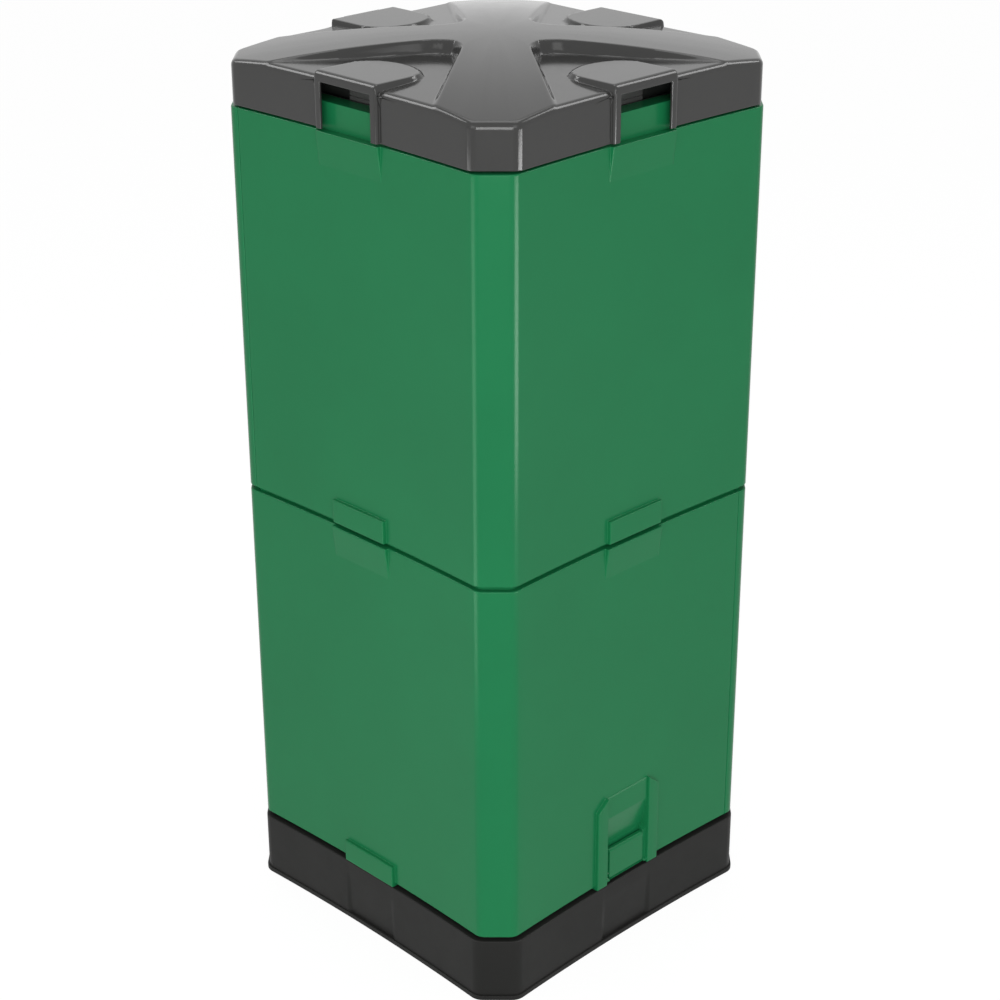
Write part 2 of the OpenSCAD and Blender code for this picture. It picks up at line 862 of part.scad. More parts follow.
core_z0 = z_plate_ledge + grate_t;
// Spigot that joins two tubes: its length, its root in its own tube, and its fits
core_join = 22;
core_root = 4;
core_fit = 0.15;
core_stop = 0.5;
// Air slots: width, and height as a share of a row
core_slot_w = 6;
core_slot_share = 0.6;
module core_tube(z0) {
    row_pitch = (core_len - 3 * core_join) / core_rows;
    color("#4a4d4b") translate([0, 0, z0]) difference() {
        cylinder(r = core_r, h = core_len, $fn = round_fn);
        translate([0, 0, -past]) cylinder(r = core_r - core_t, h = core_len + 2 * past, $fn = round_fn);
        for (i = [0 : core_rows - 1]) for (k = [0 : core_slots - 1])
            rotate([0, 0, 360 * k / core_slots])
                translate([core_r - core_t - 2 * past, -core_slot_w / 2, 2 * core_join + i * row_pitch])
                    cube([core_t + 4 * past, core_slot_w, row_pitch * core_slot_share]);
        // Rebate that takes the spigot of the piece above
        translate([0, 0, core_len - core_join])
            cylinder(r = core_r - core_t / 2 + core_fit, h = core_join + past, $fn = round_fn);
    }
}

module core_spigot(z0) {
    color("#4a4d4b") translate([0, 0, z0 - core_join + core_stop]) difference() {
        cylinder(r = core_r - core_t / 2, h = core_join + core_root, $fn = round_fn);
        translate([0, 0, -past])
            cylinder(r = core_r - core_t, h = core_join + core_root + 2 * past, $fn = round_fn);
    }
}

module core_lower() { core_tube(core_z0); }
module core_upper() {
    core_spigot(core_z0 + core_len);
    core_tube(core_z0 + core_len);
}

cap_h = 30;
cap_in = 22;
module core_cap() {
    z0 = core_z0 + 2 * core_len;
    core_spigot(z0);
    color("#4a4d4b") translate([0, 0, z0]) difference() {
        cylinder(r1 = core_r, r2 = core_r - cap_in, h = cap_h, $fn = round_fn);
        translate([0, 0, -past])
            cylinder(r1 = core_r - core_t, r2 = core_r - cap_in - core_t, h = cap_h - core_t + past,
                     $fn = round_fn);
    }
}

/* lid */

// Plan of a sunk panel on the front side, with rounded inner corners
panel_bend = 10;
module panel_plan(i) {
    y0 = panel_r0 - i;
    w0 = panel_half0 + i;
    w1 = panel_half1 + i;
    r = panel_bend;
    y1 = foot_a;
    lean = atan((w1 - w0) / (y1 - y0));
    t = r * tan((90 - lean) / 2);
    polygon(concat(
        [[w1, -y1]],
        [for (k = [0 : arc_n]) let (a = -lean * (1 - k / arc_n) + 90 * (k / arc_n))
            [w0 - t, -y0 - r] + r * [cos(a), sin(a)]],
        [for (k = [0 : arc_n]) let (a = 90 * (1 - k / arc_n) + (180 + lean) * (k / arc_n))
            [-w0 + t, -y0 - r] + r * [cos(a), sin(a)]],
        [[-w1, -y1]]
    ));
}

// Cutter for one sunk panel; i lowers and widens it, for the lid's underside
module panel_cut(i) {
    translate([0, -half_w, z_crown - panel_drop - i])
        rotate([panel_tilt, 0, 0])
            translate([0, half_w, 0])
                linear_extrude(lid_h) panel_plan(i);
}

// Plan of a raised pad with its rounded inner end
module pad_plan(i) {
    w = pad_half - i;
    y1 = half_w - pad_len + i;
    r = pad_r - i;
    polygon(concat(
        [[-w, -half_w + i], [w, -half_w + i]],
        [for (k = [0 : arc_n]) [w - r, -y1 - pad_sag - r] + r * [cos(90 * k / arc_n), sin(90 * k / arc_n)]],
        [for (k = [-dish_n + 1 : dish_n - 1]) let (t = -k / dish_n) [t * (w - r), -y1 - pad_sag * t * t]],
        [for (k = [arc_n : -1 : 0]) [-w + r, -y1 - pad_sag - r] + r * [-cos(90 * k / arc_n), sin(90 * k / arc_n)]]
    ));
}

// The lid's outer form, or its inner form at depth i
module lid_form(i) {
    z0 = z_skirt - (i > 0 ? past : 0);
    difference() {
        intersection() {
            translate([0, 0, z0]) linear_extrude(z_crown - z0 + past) lid_plan(i);
            translate([0, 0, z_crown - dome_r]) sphere(r = dome_r - i, $fn = dome_fn);
        }
        on_faces([0, 1, 2, 3]) panel_cut(i);
    }
    on_faces([0, 1, 2, 3]) {
        translate([0, 0, z0]) linear_extrude(z_pad - i - z0) pad_plan(i);
    }
}
// Rounding of a pad's inner corners, and how far its inner edge curves
pad_r = 14;
pad_sag = 20;

// Catches, their pins and the lugs in the lid that hold the pins
catch_a = inner_a - catch_gap;
catch_pin_a = catch_a - catch_t / 2;
z_catch_pin = z_neck + catch_up;
catch_lug_half = catch_half + 7;
lug_t = 5;
lug_w = 12;
lug_down = 5;
// Bosses that take the lid liner's screws
boss_r = 7;
boss_gap = 0.3;
lid_screw_in = 46;
lid_screw_u = plug_a - lid_screw_in;
lid_screw_len = 20;

module lid_lugs() {
    on_faces([0, 1, 3])
        for (u = [-1, 1])
            translate([u * (catch_lug_half - lug_t / 2), -catch_pin_a, z_catch_pin - lug_down])
                translate([-lug_t / 2, -lug_w / 2, 0]) cube([lug_t, lug_w, z_crown - z_catch_pin]);
}

module lid_bosses(r) {
    for (x = [-1, 1]) for (y = [-1, 1])
        translate([x * lid_screw_u, y * lid_screw_u, z_plug + plug_t])
            cylinder(r = r, h = z_crown - z_plug, $fn = round_fn);
}

module lid_screw_bores() {
    for (x = [-1, 1]) for (y = [-1, 1])
        translate([x * lid_screw_u, y * lid_screw_u, z_plug - past])
            cylinder(r = screw_r + pin_gap, h = lid_screw_len + past, $fn = round_fn);
}

module notch_cut() {
    on_faces([0, 1, 2, 3])
        front_block(notch_w / 2, neck_a - lid_t, lid_a + past, z_skirt - past, z_notch);
}

module lid_shell() {
    color("#565656") difference() {
        union() {
            difference() {
                lid_form(0);
                lid_form(lid_t);
            }
            intersection() {
                union() {
                    lid_lugs();
                    lid_bosses(boss_r);
                }
                lid_form(lid_t / 2);
            }
        }
        notch_cut();
        on_faces([0, 1, 3]) catch_pin_bore(eps);
        lid_screw_bores();
        lid_leaf_screws(true);
    }
}

module catch_pin_bore(gap) {
    translate([-catch_lug_half - past, -catch_pin_a, z_catch_pin]) rotate([0, 90, 0])
        cylinder(r = catch_pin_r + gap, h = 2 * (catch_lug_half + past), $fn = round_fn);
}

module lid_foam() {
    color("#e9e6dc") difference() {
        intersection() {
            translate([0, 0, z_plug + plug_t]) linear_extrude(z_crown - z_plug) inner_plan(plug_a - plug_t);
            lid_form(lid_t);
        }
        lid_bosses(boss_r + boss_gap);
    }
}

module lid_liner() {
    color("#3a3d3b") difference() {
        union() {
            intersection() {
                translate([0, 0, z_plug]) linear_extrude(z_crown - z_plug) difference() {
                    inner_plan(plug_a);
                    inner_plan(plug_a - plug_t);
                }
                lid_form(lid_t);
            }
            translate([0, 0, z_plug]) linear_extrude(plug_t) inner_plan(plug_a);
        }
        lid_screw_bores();
    }
}

// Distances of the seal's edges inside the plug's edge and outside the ledge's
seal_edge = 1;
seal_over = 4;
module lid_seal() {
    color("#161616")
        translate([0, 0, z_plug - seal_t]) linear_extrude(seal_t) difference() {
            inner_plan(plug_a - seal_edge);
            inner_plan(ledge_a + seal_over);
        }
}

module lid_screws() {
    color("#8a8d90")
        for (x = [-1, 1]) for (y = [-1, 1])
            translate([x * lid_screw_u, y * lid_screw_u, z_plug]) rotate([0, -90, 0])
                screw(lid_screw_len);
}

/* catches */

// Catch: its nose under the neck, its bevels, and a line across its face
nose_gap = 0.4;
nose_h = 3;
catch_bevel = 3;
catch_head = 5;
groove_in = 1.5;
groove_h = 1.2;
groove_up = 4.2;
module catch_piece() {
    a1 = catch_a;
    a0 = catch_a - catch_t;
    nose_a = a1 + catch_gap - nose_gap;
    z0 = z_ledge + catch_clear;
    z1 = z_catch_pin + catch_head;
    color("#4c4c4c") difference() {
        front_prism(catch_half, [
            [-a0, z0], [-nose_a, z0], [-nose_a, z0 + nose_h],
            [-a1, z0 + nose_h + catch_bevel], [-a1, z1 - catch_bevel], [-a1 + catch_bevel, z1],
            [-a0 - catch_bevel, z1], [-a0, z1 - catch_bevel]
        ]);
        front_block(catch_half + past, a1 - groove_in, a1 + past,
                    z_neck + groove_up, z_neck + groove_up + groove_h);
        translate([-far / 2, -catch_pin_a, z_catch_pin]) rotate([0, 90, 0])
            cylinder(r = catch_pin_r + pin_gap, h = far, $fn = round_fn);
    }
}

module catch_front() { catch_piece(); }
module catch_right() { rotate([0, 0, 90]) catch_piece(); }
module catch_left() { rotate([0, 0, -90]) catch_piece(); }

module catch_pins() {
    color("#8a8d90")
        on_faces([0, 1, 3])
            translate([-catch_lug_half, -catch_pin_a, z_catch_pin]) rotate([0, 90, 0])
                cylinder(r = catch_pin_r, h = 2 * catch_lug_half, $fn = round_fn);
}

/* hinge */

hinge_a = half_w + hinge_out;
z_hinge = z_skirt - hinge_down;
pin_short = 1;
leaf_half = hinge_half - pin_short;
wall_leaf_h = 46;
leaf_seat = 0.3;
wall_leaf_in = half_w - face_dish + leaf_seat;
lid_leaf_half = 31;
lid_leaf_in = half_w;
knuckle_split = 11.5;
knuckle_gap = 0.5;
// Heights of the leaves' edges from the knuckles and the pad, and of the webs that join them
leaf_edge = 1;
lid_leaf_edge = 0.5;
web_h = 3;

// A knuckle on the back hinge's axis between two places across the face
module knuckle(u0, u1) {
    translate([u0, hinge_a, z_hinge]) rotate([0, 90, 0])
        cylinder(r = knuckle_r, h = u1 - u0, $fn = round_fn);
}

module hinge_bore(gap) {
    translate([-far / 2, hinge_a, z_hinge]) rotate([0, 90, 0])
        cylinder(r = hinge_pin_r + gap, h = far, $fn = round_fn);
}

module hinge_wall_leaf() {
    color("#4a4a4a") difference() {
        union() {
            translate([-leaf_half, wall_leaf_in, z_hinge - wall_leaf_h])
                cube([2 * leaf_half, leaf_t, wall_leaf_h - knuckle_r - leaf_edge]);
            for (s = [[-leaf_half, -lid_leaf_half - knuckle_gap],
                      [-knuckle_split + knuckle_gap, knuckle_split - knuckle_gap],
                      [lid_leaf_half + knuckle_gap, leaf_half]]) {
                knuckle(s[0], s[1]);
                translate([s[0], wall_leaf_in, z_hinge - knuckle_r - web_h])
                    cube([s[1] - s[0], hinge_a - wall_leaf_in, knuckle_r + web_h]);
            }
        }
        hinge_bore(eps);
        hinge_screw_bores();
    }
}

module hinge_lid_leaf() {
    foot = z_hinge + knuckle_r + lid_leaf_edge;
    color("#4a4a4a") difference() {
        union() {
            translate([-lid_leaf_half, lid_leaf_in, foot])
                cube([2 * lid_leaf_half, leaf_t, z_pad - leaf_edge - foot]);
            for (s = [[-lid_leaf_half, -knuckle_split], [knuckle_split, lid_leaf_half]]) {
                knuckle(s[0], s[1]);
                translate([s[0], lid_leaf_in, z_hinge])
                    cube([s[1] - s[0], leaf_t, knuckle_r + 2 * lid_leaf_edge]);
            }
        }
        hinge_bore(pin_gap);
        lid_leaf_screws(true);
    }
}

module hinge_pin() {
    color("#8a8d90")
        translate([-hinge_half, hinge_a, z_hinge]) rotate([0, 90, 0])
            cylinder(r = hinge_pin_r, h = 2 * hinge_half, $fn = round_fn);
}

// Places of the leaves' screws, and their length in the wall past its skin
hinge_screw_u = [-28, 28];
hinge_screw_up = 9;
hinge_screw_down = 14;
hinge_screw_z = [z_hinge - wall_leaf_h + hinge_screw_up, z_hinge - knuckle_r - hinge_screw_down];
hinge_screw_in = 2;
module at_hinge_screws() {
    for (u = hinge_screw_u) for (z = hinge_screw_z)
        translate([u, wall_leaf_in + leaf_t, z]) rotate([0, 0, -90]) children();
}

module hinge_screw_bores() {
    at_hinge_screws() translate([-past, 0, 0]) screw_bore(leaf_t + skin_t + hinge_screw_in + 2 * past);
}

lid_leaf_screw_u = [-18, 18];
module lid_leaf_screws(bore) {
    for (u = lid_leaf_screw_u)
        translate([u, lid_leaf_in + leaf_t, (z_notch + z_pad) / 2]) rotate([0, 0, -90])
            if (bore) translate([-past, 0, 0]) screw_bore(leaf_t + lid_t + 3 * past);
            else screw(leaf_t + lid_t);
}

module hinge_wall_screws() {
    color("#8a8d90") at_hinge_screws() screw(leaf_t + skin_t + hinge_screw_in);
}

module hinge_lid_screws() {
    color("#8a8d90") lid_leaf_screws(false);
}

/* fasteners */

module seam_screws() {
    color("#8a8d90") at_seam_screws() screw(lap_split + skin_t);
}

module tier_screws() {
    color("#8a8d90") at_back_ties(inner_a, z_tier_screw) screw(tie_len + liner_t);
}

module base_screws() {
    color("#8a8d90") at_back_ties(well_a, z_base_screw) screw(tie_len);
}

base_ring();
liquid_tray();
air_pipe();
drain_plate_left();
drain_plate_right();
tap_body();
tap_lever();
tap_gasket();
tap_nut();
lower_front_shell();
lower_front_foam();
lower_front_liner();
lower_back_shell();
lower_back_foam();
lower_back_liner();
clip_housing();
release_clip();
clip_pin();
upper_front_shell();
upper_front_foam();
upper_front_liner();
upper_back_shell();
upper_back_foam();
upper_back_liner();
core_lower();
core_upper();
core_cap();
lid_ledge();
lid_shell();
lid_foam();
lid_liner();
lid_seal();
catch_front();
catch_left();
catch_right();
catch_pins();
hinge_wall_leaf();
hinge_lid_leaf();
hinge_pin();
lid_screws();
hinge_lid_screws();
hinge_wall_screws();
seam_screws();
tier_screws();
base_screws();
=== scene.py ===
import json
import math
from collections import namedtuple

import bmesh
import bpy
from mathutils import Matrix, Vector


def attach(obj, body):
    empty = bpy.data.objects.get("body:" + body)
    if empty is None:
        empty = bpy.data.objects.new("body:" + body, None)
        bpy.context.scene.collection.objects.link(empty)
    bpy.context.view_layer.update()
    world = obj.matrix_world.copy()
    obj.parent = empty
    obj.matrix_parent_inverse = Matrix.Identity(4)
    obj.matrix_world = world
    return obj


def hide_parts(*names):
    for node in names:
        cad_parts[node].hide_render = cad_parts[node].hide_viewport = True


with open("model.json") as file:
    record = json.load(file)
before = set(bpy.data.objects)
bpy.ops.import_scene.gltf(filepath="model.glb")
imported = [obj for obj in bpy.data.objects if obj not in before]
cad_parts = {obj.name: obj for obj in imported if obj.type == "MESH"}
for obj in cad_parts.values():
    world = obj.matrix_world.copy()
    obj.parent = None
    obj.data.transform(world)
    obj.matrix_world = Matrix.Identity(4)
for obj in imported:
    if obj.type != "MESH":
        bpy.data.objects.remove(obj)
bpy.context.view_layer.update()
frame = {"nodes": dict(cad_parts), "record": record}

MM = 0.001
SIN45 = math.sin(math.radians(45))

# Camera, in metres and degrees

CAMERA_PLACE = (-1.9908, -2.0285, 1.8849)
LENS, FILM_WIDTH = 80.1, 36
BEARING, DIP, ROLL = 45.487, 24.40, -0.146


def camera_turn():
    """The turn of a camera that looks along the bearing and dips below the level."""
    bearing, dip = math.radians(BEARING), math.radians(DIP)
    sight = Vector((math.cos(bearing) * math.cos(dip), math.sin(bearing) * math.cos(dip), -math.sin(dip)))
    plain = sight.to_track_quat("-Z", "Y").to_matrix()
    return (plain @ Matrix.Rotation(math.radians(ROLL), 3, "Z")).to_quaternion()


camera_data = bpy.data.cameras.new("camera")
camera_data.lens = LENS
camera_data.sensor_width = FILM_WIDTH
camera = bpy.data.objects.new("camera", camera_data)
bpy.context.scene.collection.objects.link(camera)
camera.location = CAMERA_PLACE
camera.rotation_mode = "QUATERNION"
camera.rotation_quaternion = camera_turn()
bpy.context.scene.camera = camera

# Finishes


def new_finish(name):
    """A new material, its nodes, its links and its shader."""
    mat = bpy.data.materials.new(name)
    mat.use_nodes = True
    nodes, links = mat.node_tree.nodes, mat.node_tree.links
    return mat, nodes, links, nodes["Principled BSDF"]


def own_place(nodes):
    """Where a point lies on its own object."""
    return nodes.new("ShaderNodeTexCoord").outputs["Object"]


def noise(nodes, links, place, scale, detail=3.0, roughness=0.5):
    tex = nodes.new("ShaderNodeTexNoise")
    tex.inputs["Scale"].default_value = scale
    tex.inputs["Detail"].default_value = detail
    tex.inputs["Roughness"].default_value = roughness
    links.new(place, tex.inputs["Vector"])
    return tex.outputs["Fac"]


def span(nodes, links, value, low, high, from_low=0.3, from_high=0.7):
    """Carries a value to a range of numbers; the middle of a noise by default."""
    node = nodes.new("ShaderNodeMapRange")
    node.inputs["From Min"].default_value = from_low
    node.inputs["From Max"].default_value = from_high
    node.inputs["To Min"].default_value = low
    node.inputs["To Max"].default_value = high
    links.new(value, node.inputs["Value"])
    return node.outputs["Result"]


def two_tones(nodes, links, value, dark, light):
    ramp = nodes.new("ShaderNodeValToRGB")
    ramp.color_ramp.elements[0].position = 0.3
    ramp.color_ramp.elements[1].position = 0.7
    ramp.color_ramp.elements[0].color = (*dark, 1)
    ramp.color_ramp.elements[1].color = (*light, 1)
    links.new(value, ramp.inputs["Fac"])
    return ramp.outputs["Color"]


def bumps(nodes, links, shader, height, strength, distance):
    node = nodes.new("ShaderNodeBump")
    node.inputs["Strength"].default_value = strength
    node.inputs["Distance"].default_value = distance
    links.new(height, node.inputs["Height"])
    links.new(node.outputs["Normal"], shader.inputs["Normal"])


def moulded_plastic(name, color, spread, rough, grain, grain_scale, specular=0.5):
    """Moulded plastic: a faint drift of tone, a gloss that varies, and a fine grain."""
    mat, nodes, links, shader = new_finish(name)
    place = own_place(nodes)
    drift = noise(nodes, links, place, scale=6.0, detail=4.0)
    dark = tuple(c * (1 - spread) for c in color)
    light = tuple(c * (1 + spread) for c in color)
    links.new(two_tones(nodes, links, drift, dark, light), shader.inputs["Base Color"])
    patches = noise(nodes, links, place, scale=38.0, detail=5.0, roughness=0.6)
    links.new(span(nodes, links, patches, *rough), shader.inputs["Roughness"])
    shader.inputs["Specular IOR Level"].default_value = specular
    fine = noise(nodes, links, place, grain_scale, detail=2.0)
    bumps(nodes, links, shader, fine, strength=grain, distance=0.0003)
    return mat


def bead_foam(name):
    """Pale foam of pressed beads, with a fine dark line between them."""
    mat, nodes, links, shader = new_finish(name)
    cells = nodes.new("ShaderNodeTexVoronoi")
    cells.feature = "DISTANCE_TO_EDGE"
    cells.inputs["Scale"].default_value = 260.0
    links.new(own_place(nodes), cells.inputs["Vector"])
    edge = span(nodes, links, cells.outputs["Distance"], 0.0, 1.0, from_low=0.0, from_high=0.12)
    links.new(two_tones(nodes, links, edge, (0.60, 0.58, 0.52), (0.84, 0.82, 0.76)),
              shader.inputs["Base Color"])
    shader.inputs["Roughness"].default_value = 0.8
    bumps(nodes, links, shader, edge, strength=0.5, distance=0.0006)
    return mat


def plated_steel(name):
    """Dull zinc plate with small stains."""
    mat, nodes, links, shader = new_finish(name)
    place = own_place(nodes)
    stains = noise(nodes, links, place, scale=120.0, detail=6.0, roughness=0.65)
    links.new(two_tones(nodes, links, stains, (0.42, 0.43, 0.44), (0.62, 0.62, 0.61)),
              shader.inputs["Base Color"])
    links.new(span(nodes, links, stains, 0.42, 0.24), shader.inputs["Roughness"])
    shader.inputs["Metallic"].default_value = 1.0
    bumps(nodes, links, shader, noise(nodes, links, place, 2500.0), strength=0.08, distance=0.0001)
    return mat


green = moulded_plastic("green_plastic", color=(0.012, 0.205, 0.073), spread=0.03,
                        rough=(0.23, 0.25), grain=0.02, grain_scale=2600.0, specular=0.12)
lid_grey = moulded_plastic("lid_plastic", color=(0.038, 0.038, 0.037), spread=0.04,
                           rough=(0.12, 0.16), grain=0.015, grain_scale=2200.0, specular=0.36)
# Painted light: the catches are the lid's plastic, given a grey about three times as light to paint light
# into the shade of the notches.
catch_grey_painted_light = moulded_plastic("catch_plastic_painted_light", color=(0.115, 0.115, 0.113), spread=0.04,
                             rough=(0.16, 0.22), grain=0.02, grain_scale=2200.0)
base_grey = moulded_plastic("base_plastic", color=(0.020, 0.020, 0.019), spread=0.08,
                            rough=(0.40, 0.50), grain=0.15, grain_scale=1700.0, specular=0.1)
liner_grey = moulded_plastic("liner_plastic", color=(0.034, 0.038, 0.035), spread=0.10,
                             rough=(0.42, 0.56), grain=0.15, grain_scale=1500.0)
core_grey = moulded_plastic("core_plastic", color=(0.060, 0.064, 0.061), spread=0.10,
                            rough=(0.44, 0.58), grain=0.15, grain_scale=1500.0)
lever_red = moulded_plastic("tap_red", color=(0.42, 0.012, 0.008), spread=0.06,
                            rough=(0.28, 0.36), grain=0.05, grain_scale=2000.0)
rubber = moulded_plastic("rubber_seal", color=(0.012, 0.012, 0.012), spread=0.15,
                         rough=(0.70, 0.85), grain=0.25, grain_scale=1200.0, specular=0.3)
foam = bead_foam("foam")
steel = plated_steel("screw_steel")
FINISH = {"green_plastic": green, "lid_plastic": lid_grey, "base_plastic": base_grey,
          "liner_plastic": liner_grey, "core_plastic": core_grey, "tap_red": lever_red,
          "rubber_seal": rubber, "foam": foam, "screw_steel": steel}

for row in frame["record"]["subparts"]:
    solid = frame["nodes"][row["node"]]
    solid.data.materials.clear()
    solid.data.materials.append(FINISH[row["material_slot"]])

# Driving sizes of the walls, in millimetres

HALF, DISH = 260.0, 6.0
FOOT, FOOT_DROP = 101.0, 4.5
LOWER_TOP, UPPER_FOOT, SHOULDER, NECK_TOP = 624.0, 630.5, 1164.0, 1199.0
RABBET, TONGUE_FOOT = 601.5, 603.5
INNER, SPLIT, INNER_LEG, INNER_BEND = 224.0, 240.0, 32.0, 8.0
TONGUE_HALF, NECK_HALF, SEAT_IN, SEAT_SLIP = 238.0, 247.0, 8.0, 0.3
SEAM, SEAM_GAP, LOWER_LAP, UPPER_LAP = 212.0, 0.4, 18.0, 40.0
TAB_HALF, TAB_RISE = 50.0, 32.5
BOSS_HEIGHT, LOWER_BOSS, UPPER_BOSS = 45.0, 53.0, 58.0
BAY_HALF, UPRIGHT_OUT, UPRIGHT_TOP, UPRIGHT_SLOPE, UPRIGHT_SLANT = 42.0, 62.0, 238.0, 0.8, 1.28
PLATE_DEPTH, PLATE_TOP, POCKET_TOP, FINGER_FOOT = 256.0, 236.0, 203.0, 158.0
CLIP_SLOT, SLOT_FOOT, SLOT_TOP, SLOT_DEPTH, CHEEK_DEPTH = 35.5, 104.5, 152.0, 246.0, 254.3
FRONT, RIGHT, BACK, LEFT = range(4)

# Outlines

BEND_SHARES = (1.0, 0.5, 0.134, 0.0)
ARC = (0.0, 11.25, 22.5, 33.75, 45.0)
EDGE, FILLET, TOP_EDGE, HAIR = 1.5, 0.8, 1.7, 0.02
STEP = [EDGE * k for k in BEND_SHARES] + [-HAIR - FILLET * k for k in reversed(BEND_SHARES)]


def edge_drop(e, radius):
    """How far a rounded edge has fallen away, e in from the edge."""
    if e >= radius:
        return 0.0
    e = max(e, 0.0)
    return radius - math.sqrt(radius * radius - (radius - e) ** 2)


def ease(t):
    """A rise from 0 to 1 with soft ends."""
    t = min(max(t, 0.0), 1.0)
    return t * t * t * (t * (6 * t - 15) + 10)


def step_up(t):
    """A plainer rise from 0 to 1."""
    t = min(max(t, 0.0), 1.0)
    return t * t * (3 - 2 * t)


def soft_min(a, b, width):
    """The lesser of two values, blended over a width."""
    h = max(width - abs(a - b), 0.0) / width
    return min(a, b) - h * h * width / 4


class Outline:
    """A square plan with a flat across each corner and faces that dish in."""

    def __init__(self, half, leg, bend, dish=0.0):
        self.half, self.leg, self.bend, self.dish = half, leg, bend, dish
        self.flat = half - leg - bend * math.tan(math.radians(22.5))

    def inset(self, d):
        return Outline(self.half - d, self.leg - d * (2 - math.sqrt(2)), max(self.bend - d, 3.0), self.dish)

    def depth(self, u):
        """Distance of the face from the middle plane, u along it."""
        u = abs(u)
        if u <= self.flat:
            return self.half - self.dish * (1 - (u / self.flat) ** 2)
        if u - self.flat <= self.bend * SIN45:
            return self.half - self.bend + math.sqrt(self.bend ** 2 - (u - self.flat) ** 2)
        return 2 * self.half - self.leg - u

    def corner(self, degrees, second):
        """A point on one of a corner's two bends: the first ends the face, the second starts the next."""
        a = math.radians(degrees)
        if second:
            return self.half - self.bend + self.bend * math.sin(a), self.flat + self.bend * math.cos(a)
        return self.flat + self.bend * math.sin(a), self.half - self.bend + self.bend * math.cos(a)


def on_face(face, u, depth):
    """Plan point u along a face at a depth."""
    x, y = u, -depth
    for _ in range(face):
        x, y = -y, x
    return x, y


WALL = Outline(HALF, 34.0, 18.0, DISH)
SEAT = WALL.inset(SEAT_IN)

# Meshes and pieces


class Skin:
    """Gathers faces from points in millimetres, and merges points that coincide."""

    def __init__(self):
        self.points, self.index, self.faces, self.seen = [], {}, [], set()

    def at(self, p):
        key = (round(p[0], 3), round(p[1], 3), round(p[2], 3))
        if key not in self.index:
            self.index[key] = len(self.points)
            self.points.append(p)
        return self.index[key]

    def face(self, *points):
        """Adds a face, unless it is a sliver or is there already."""
        ids = []
        for p in points:
            i = p if isinstance(p, int) else self.at(p)
            if i not in ids:
                ids.append(i)
        key = frozenset(ids)
        if len(ids) < 3 or key in self.seen:
            return
        self.seen.add(key)
        self.faces.append(ids)

    def loft(self, rings, shut=True):
        """Joins closed rings of equal count with quads; shut closes both ends."""
        ids = [[self.at(p) for p in ring] for ring in rings]
        n = len(ids[0])
        for low, high in zip(ids, ids[1:]):
            for j in range(n):
                k = (j + 1) % n
                self.face(low[j], low[k], high[k], high[j])
        if shut:
            self.face(*reversed(ids[0]))
            self.face(*ids[-1])

    def block(self, u0, u1, d0, d1, z0, z1, face=FRONT):
        """A box on a face, by its span along the face, in depth and in height."""
        plan = [on_face(face, u, d) for u, d in ((u0, d1), (u1, d1), (u1, d0), (u0, d0))]
        self.loft([[(x, y, z) for x, y in plan] for z in (z0, z1)])

    def prism(self, half, side, face=FRONT):
        """A prism along a face, from its side view in depth and height."""
        self.loft([[(*on_face(face, u, d), z) for d, z in side] for u in (-half, half)])

    def mesh(self, name, mirrored=False):
        """The mesh in metres; mirrored swaps x and y."""
        data = bpy.data.meshes.new(name)
        pts = [(p[1], p[0], p[2]) if mirrored else p for p in self.points]
        data.from_pydata([(x * MM, y * MM, z * MM) for x, y, z in pts], [],
                         [f[::-1] if mirrored else f for f in self.faces])
        data.validate()
        work = bmesh.new()
        work.from_mesh(data)
        bmesh.ops.triangulate(work, faces=[f for f in work.faces if len(f.verts) > 4])
        work.to_mesh(data)
        work.free()
        return data


def even_shading(obj):
    """Keeps wide flats flat where smooth faces meet them."""
    even = obj.modifiers.new("flats", "WEIGHTED_NORMAL")
    even.weight = 80
    return even


def piece(name, mesh, mat, body, nodes, crease=40):
    """A finished piece: smooth faces, sharp edges past crease degrees, and flats kept flat."""
    obj = bpy.data.objects.new(name, mesh)
    bpy.context.scene.collection.objects.link(obj)
    mesh.materials.append(mat)
    mesh.polygons.foreach_set("use_smooth", [True] * len(mesh.polygons))
    if crease:
        mesh.set_sharp_from_angle(angle=math.radians(crease))
        even_shading(obj).keep_sharp = True
    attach(obj, body)
    if nodes:
        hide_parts(*nodes)
    return obj


def round_edges(obj, width, segments=3, degrees=30):
    """Rounds the edges of a plain piece that turn by more than some degrees."""
    mod = obj.modifiers.new("rounded", "BEVEL")
    mod.width = width * MM
    mod.segments = segments
    mod.limit_method = "ANGLE"
    mod.angle_limit = math.radians(degrees)
    even_shading(obj)


# Raised areas of the walls

OUTSIDE, WELL_INSIDE = -9.0, 99.0


class Raised:
    """A raised area on a face: its level, and the distance inside its edge."""

    def __init__(self, level, inside):
        self.level, self.inside = level, inside

    def over(self, ground, u, z):
        """The surface at a point, where ground is the surface without this area."""
        level, e = self.level(z), self.inside(u, z)
        high = level - ground
        if high <= 0:
            return ground
        edge, fillet = min(EDGE, high * 0.6), min(FILLET, high * 0.3)
        if e >= 0:
            return level - edge_drop(e, edge)
        e += HAIR
        if e >= 0:
            return ground + fillet
        if e > -fillet:
            return ground + edge_drop(-e, fillet)
        return ground


def tab(top):
    """A tab at a tier's foot, with a ledge on top."""
    return Raised(lambda z: HALF, lambda u, z: min(TAB_HALF - abs(u), top - z))


def fading_boss(top, half):
    """A boss that fades down from a tier's top edge."""
    foot = top - BOSS_HEIGHT
    return Raised(lambda z: HALF - DISH + DISH * (z - foot) / BOSS_HEIGHT,
                  lambda u, z: half - abs(u) if z > foot else OUTSIDE)


def upright():
    """The two uprights beside the clip, with tops that slope down outwards."""
    def inside(u, z):
        out = abs(u) - BAY_HALF
        return min(out, UPRIGHT_OUT - abs(u), (UPRIGHT_TOP - UPRIGHT_SLOPE * out - z) / UPRIGHT_SLANT)
    return Raised(lambda z: HALF, inside)


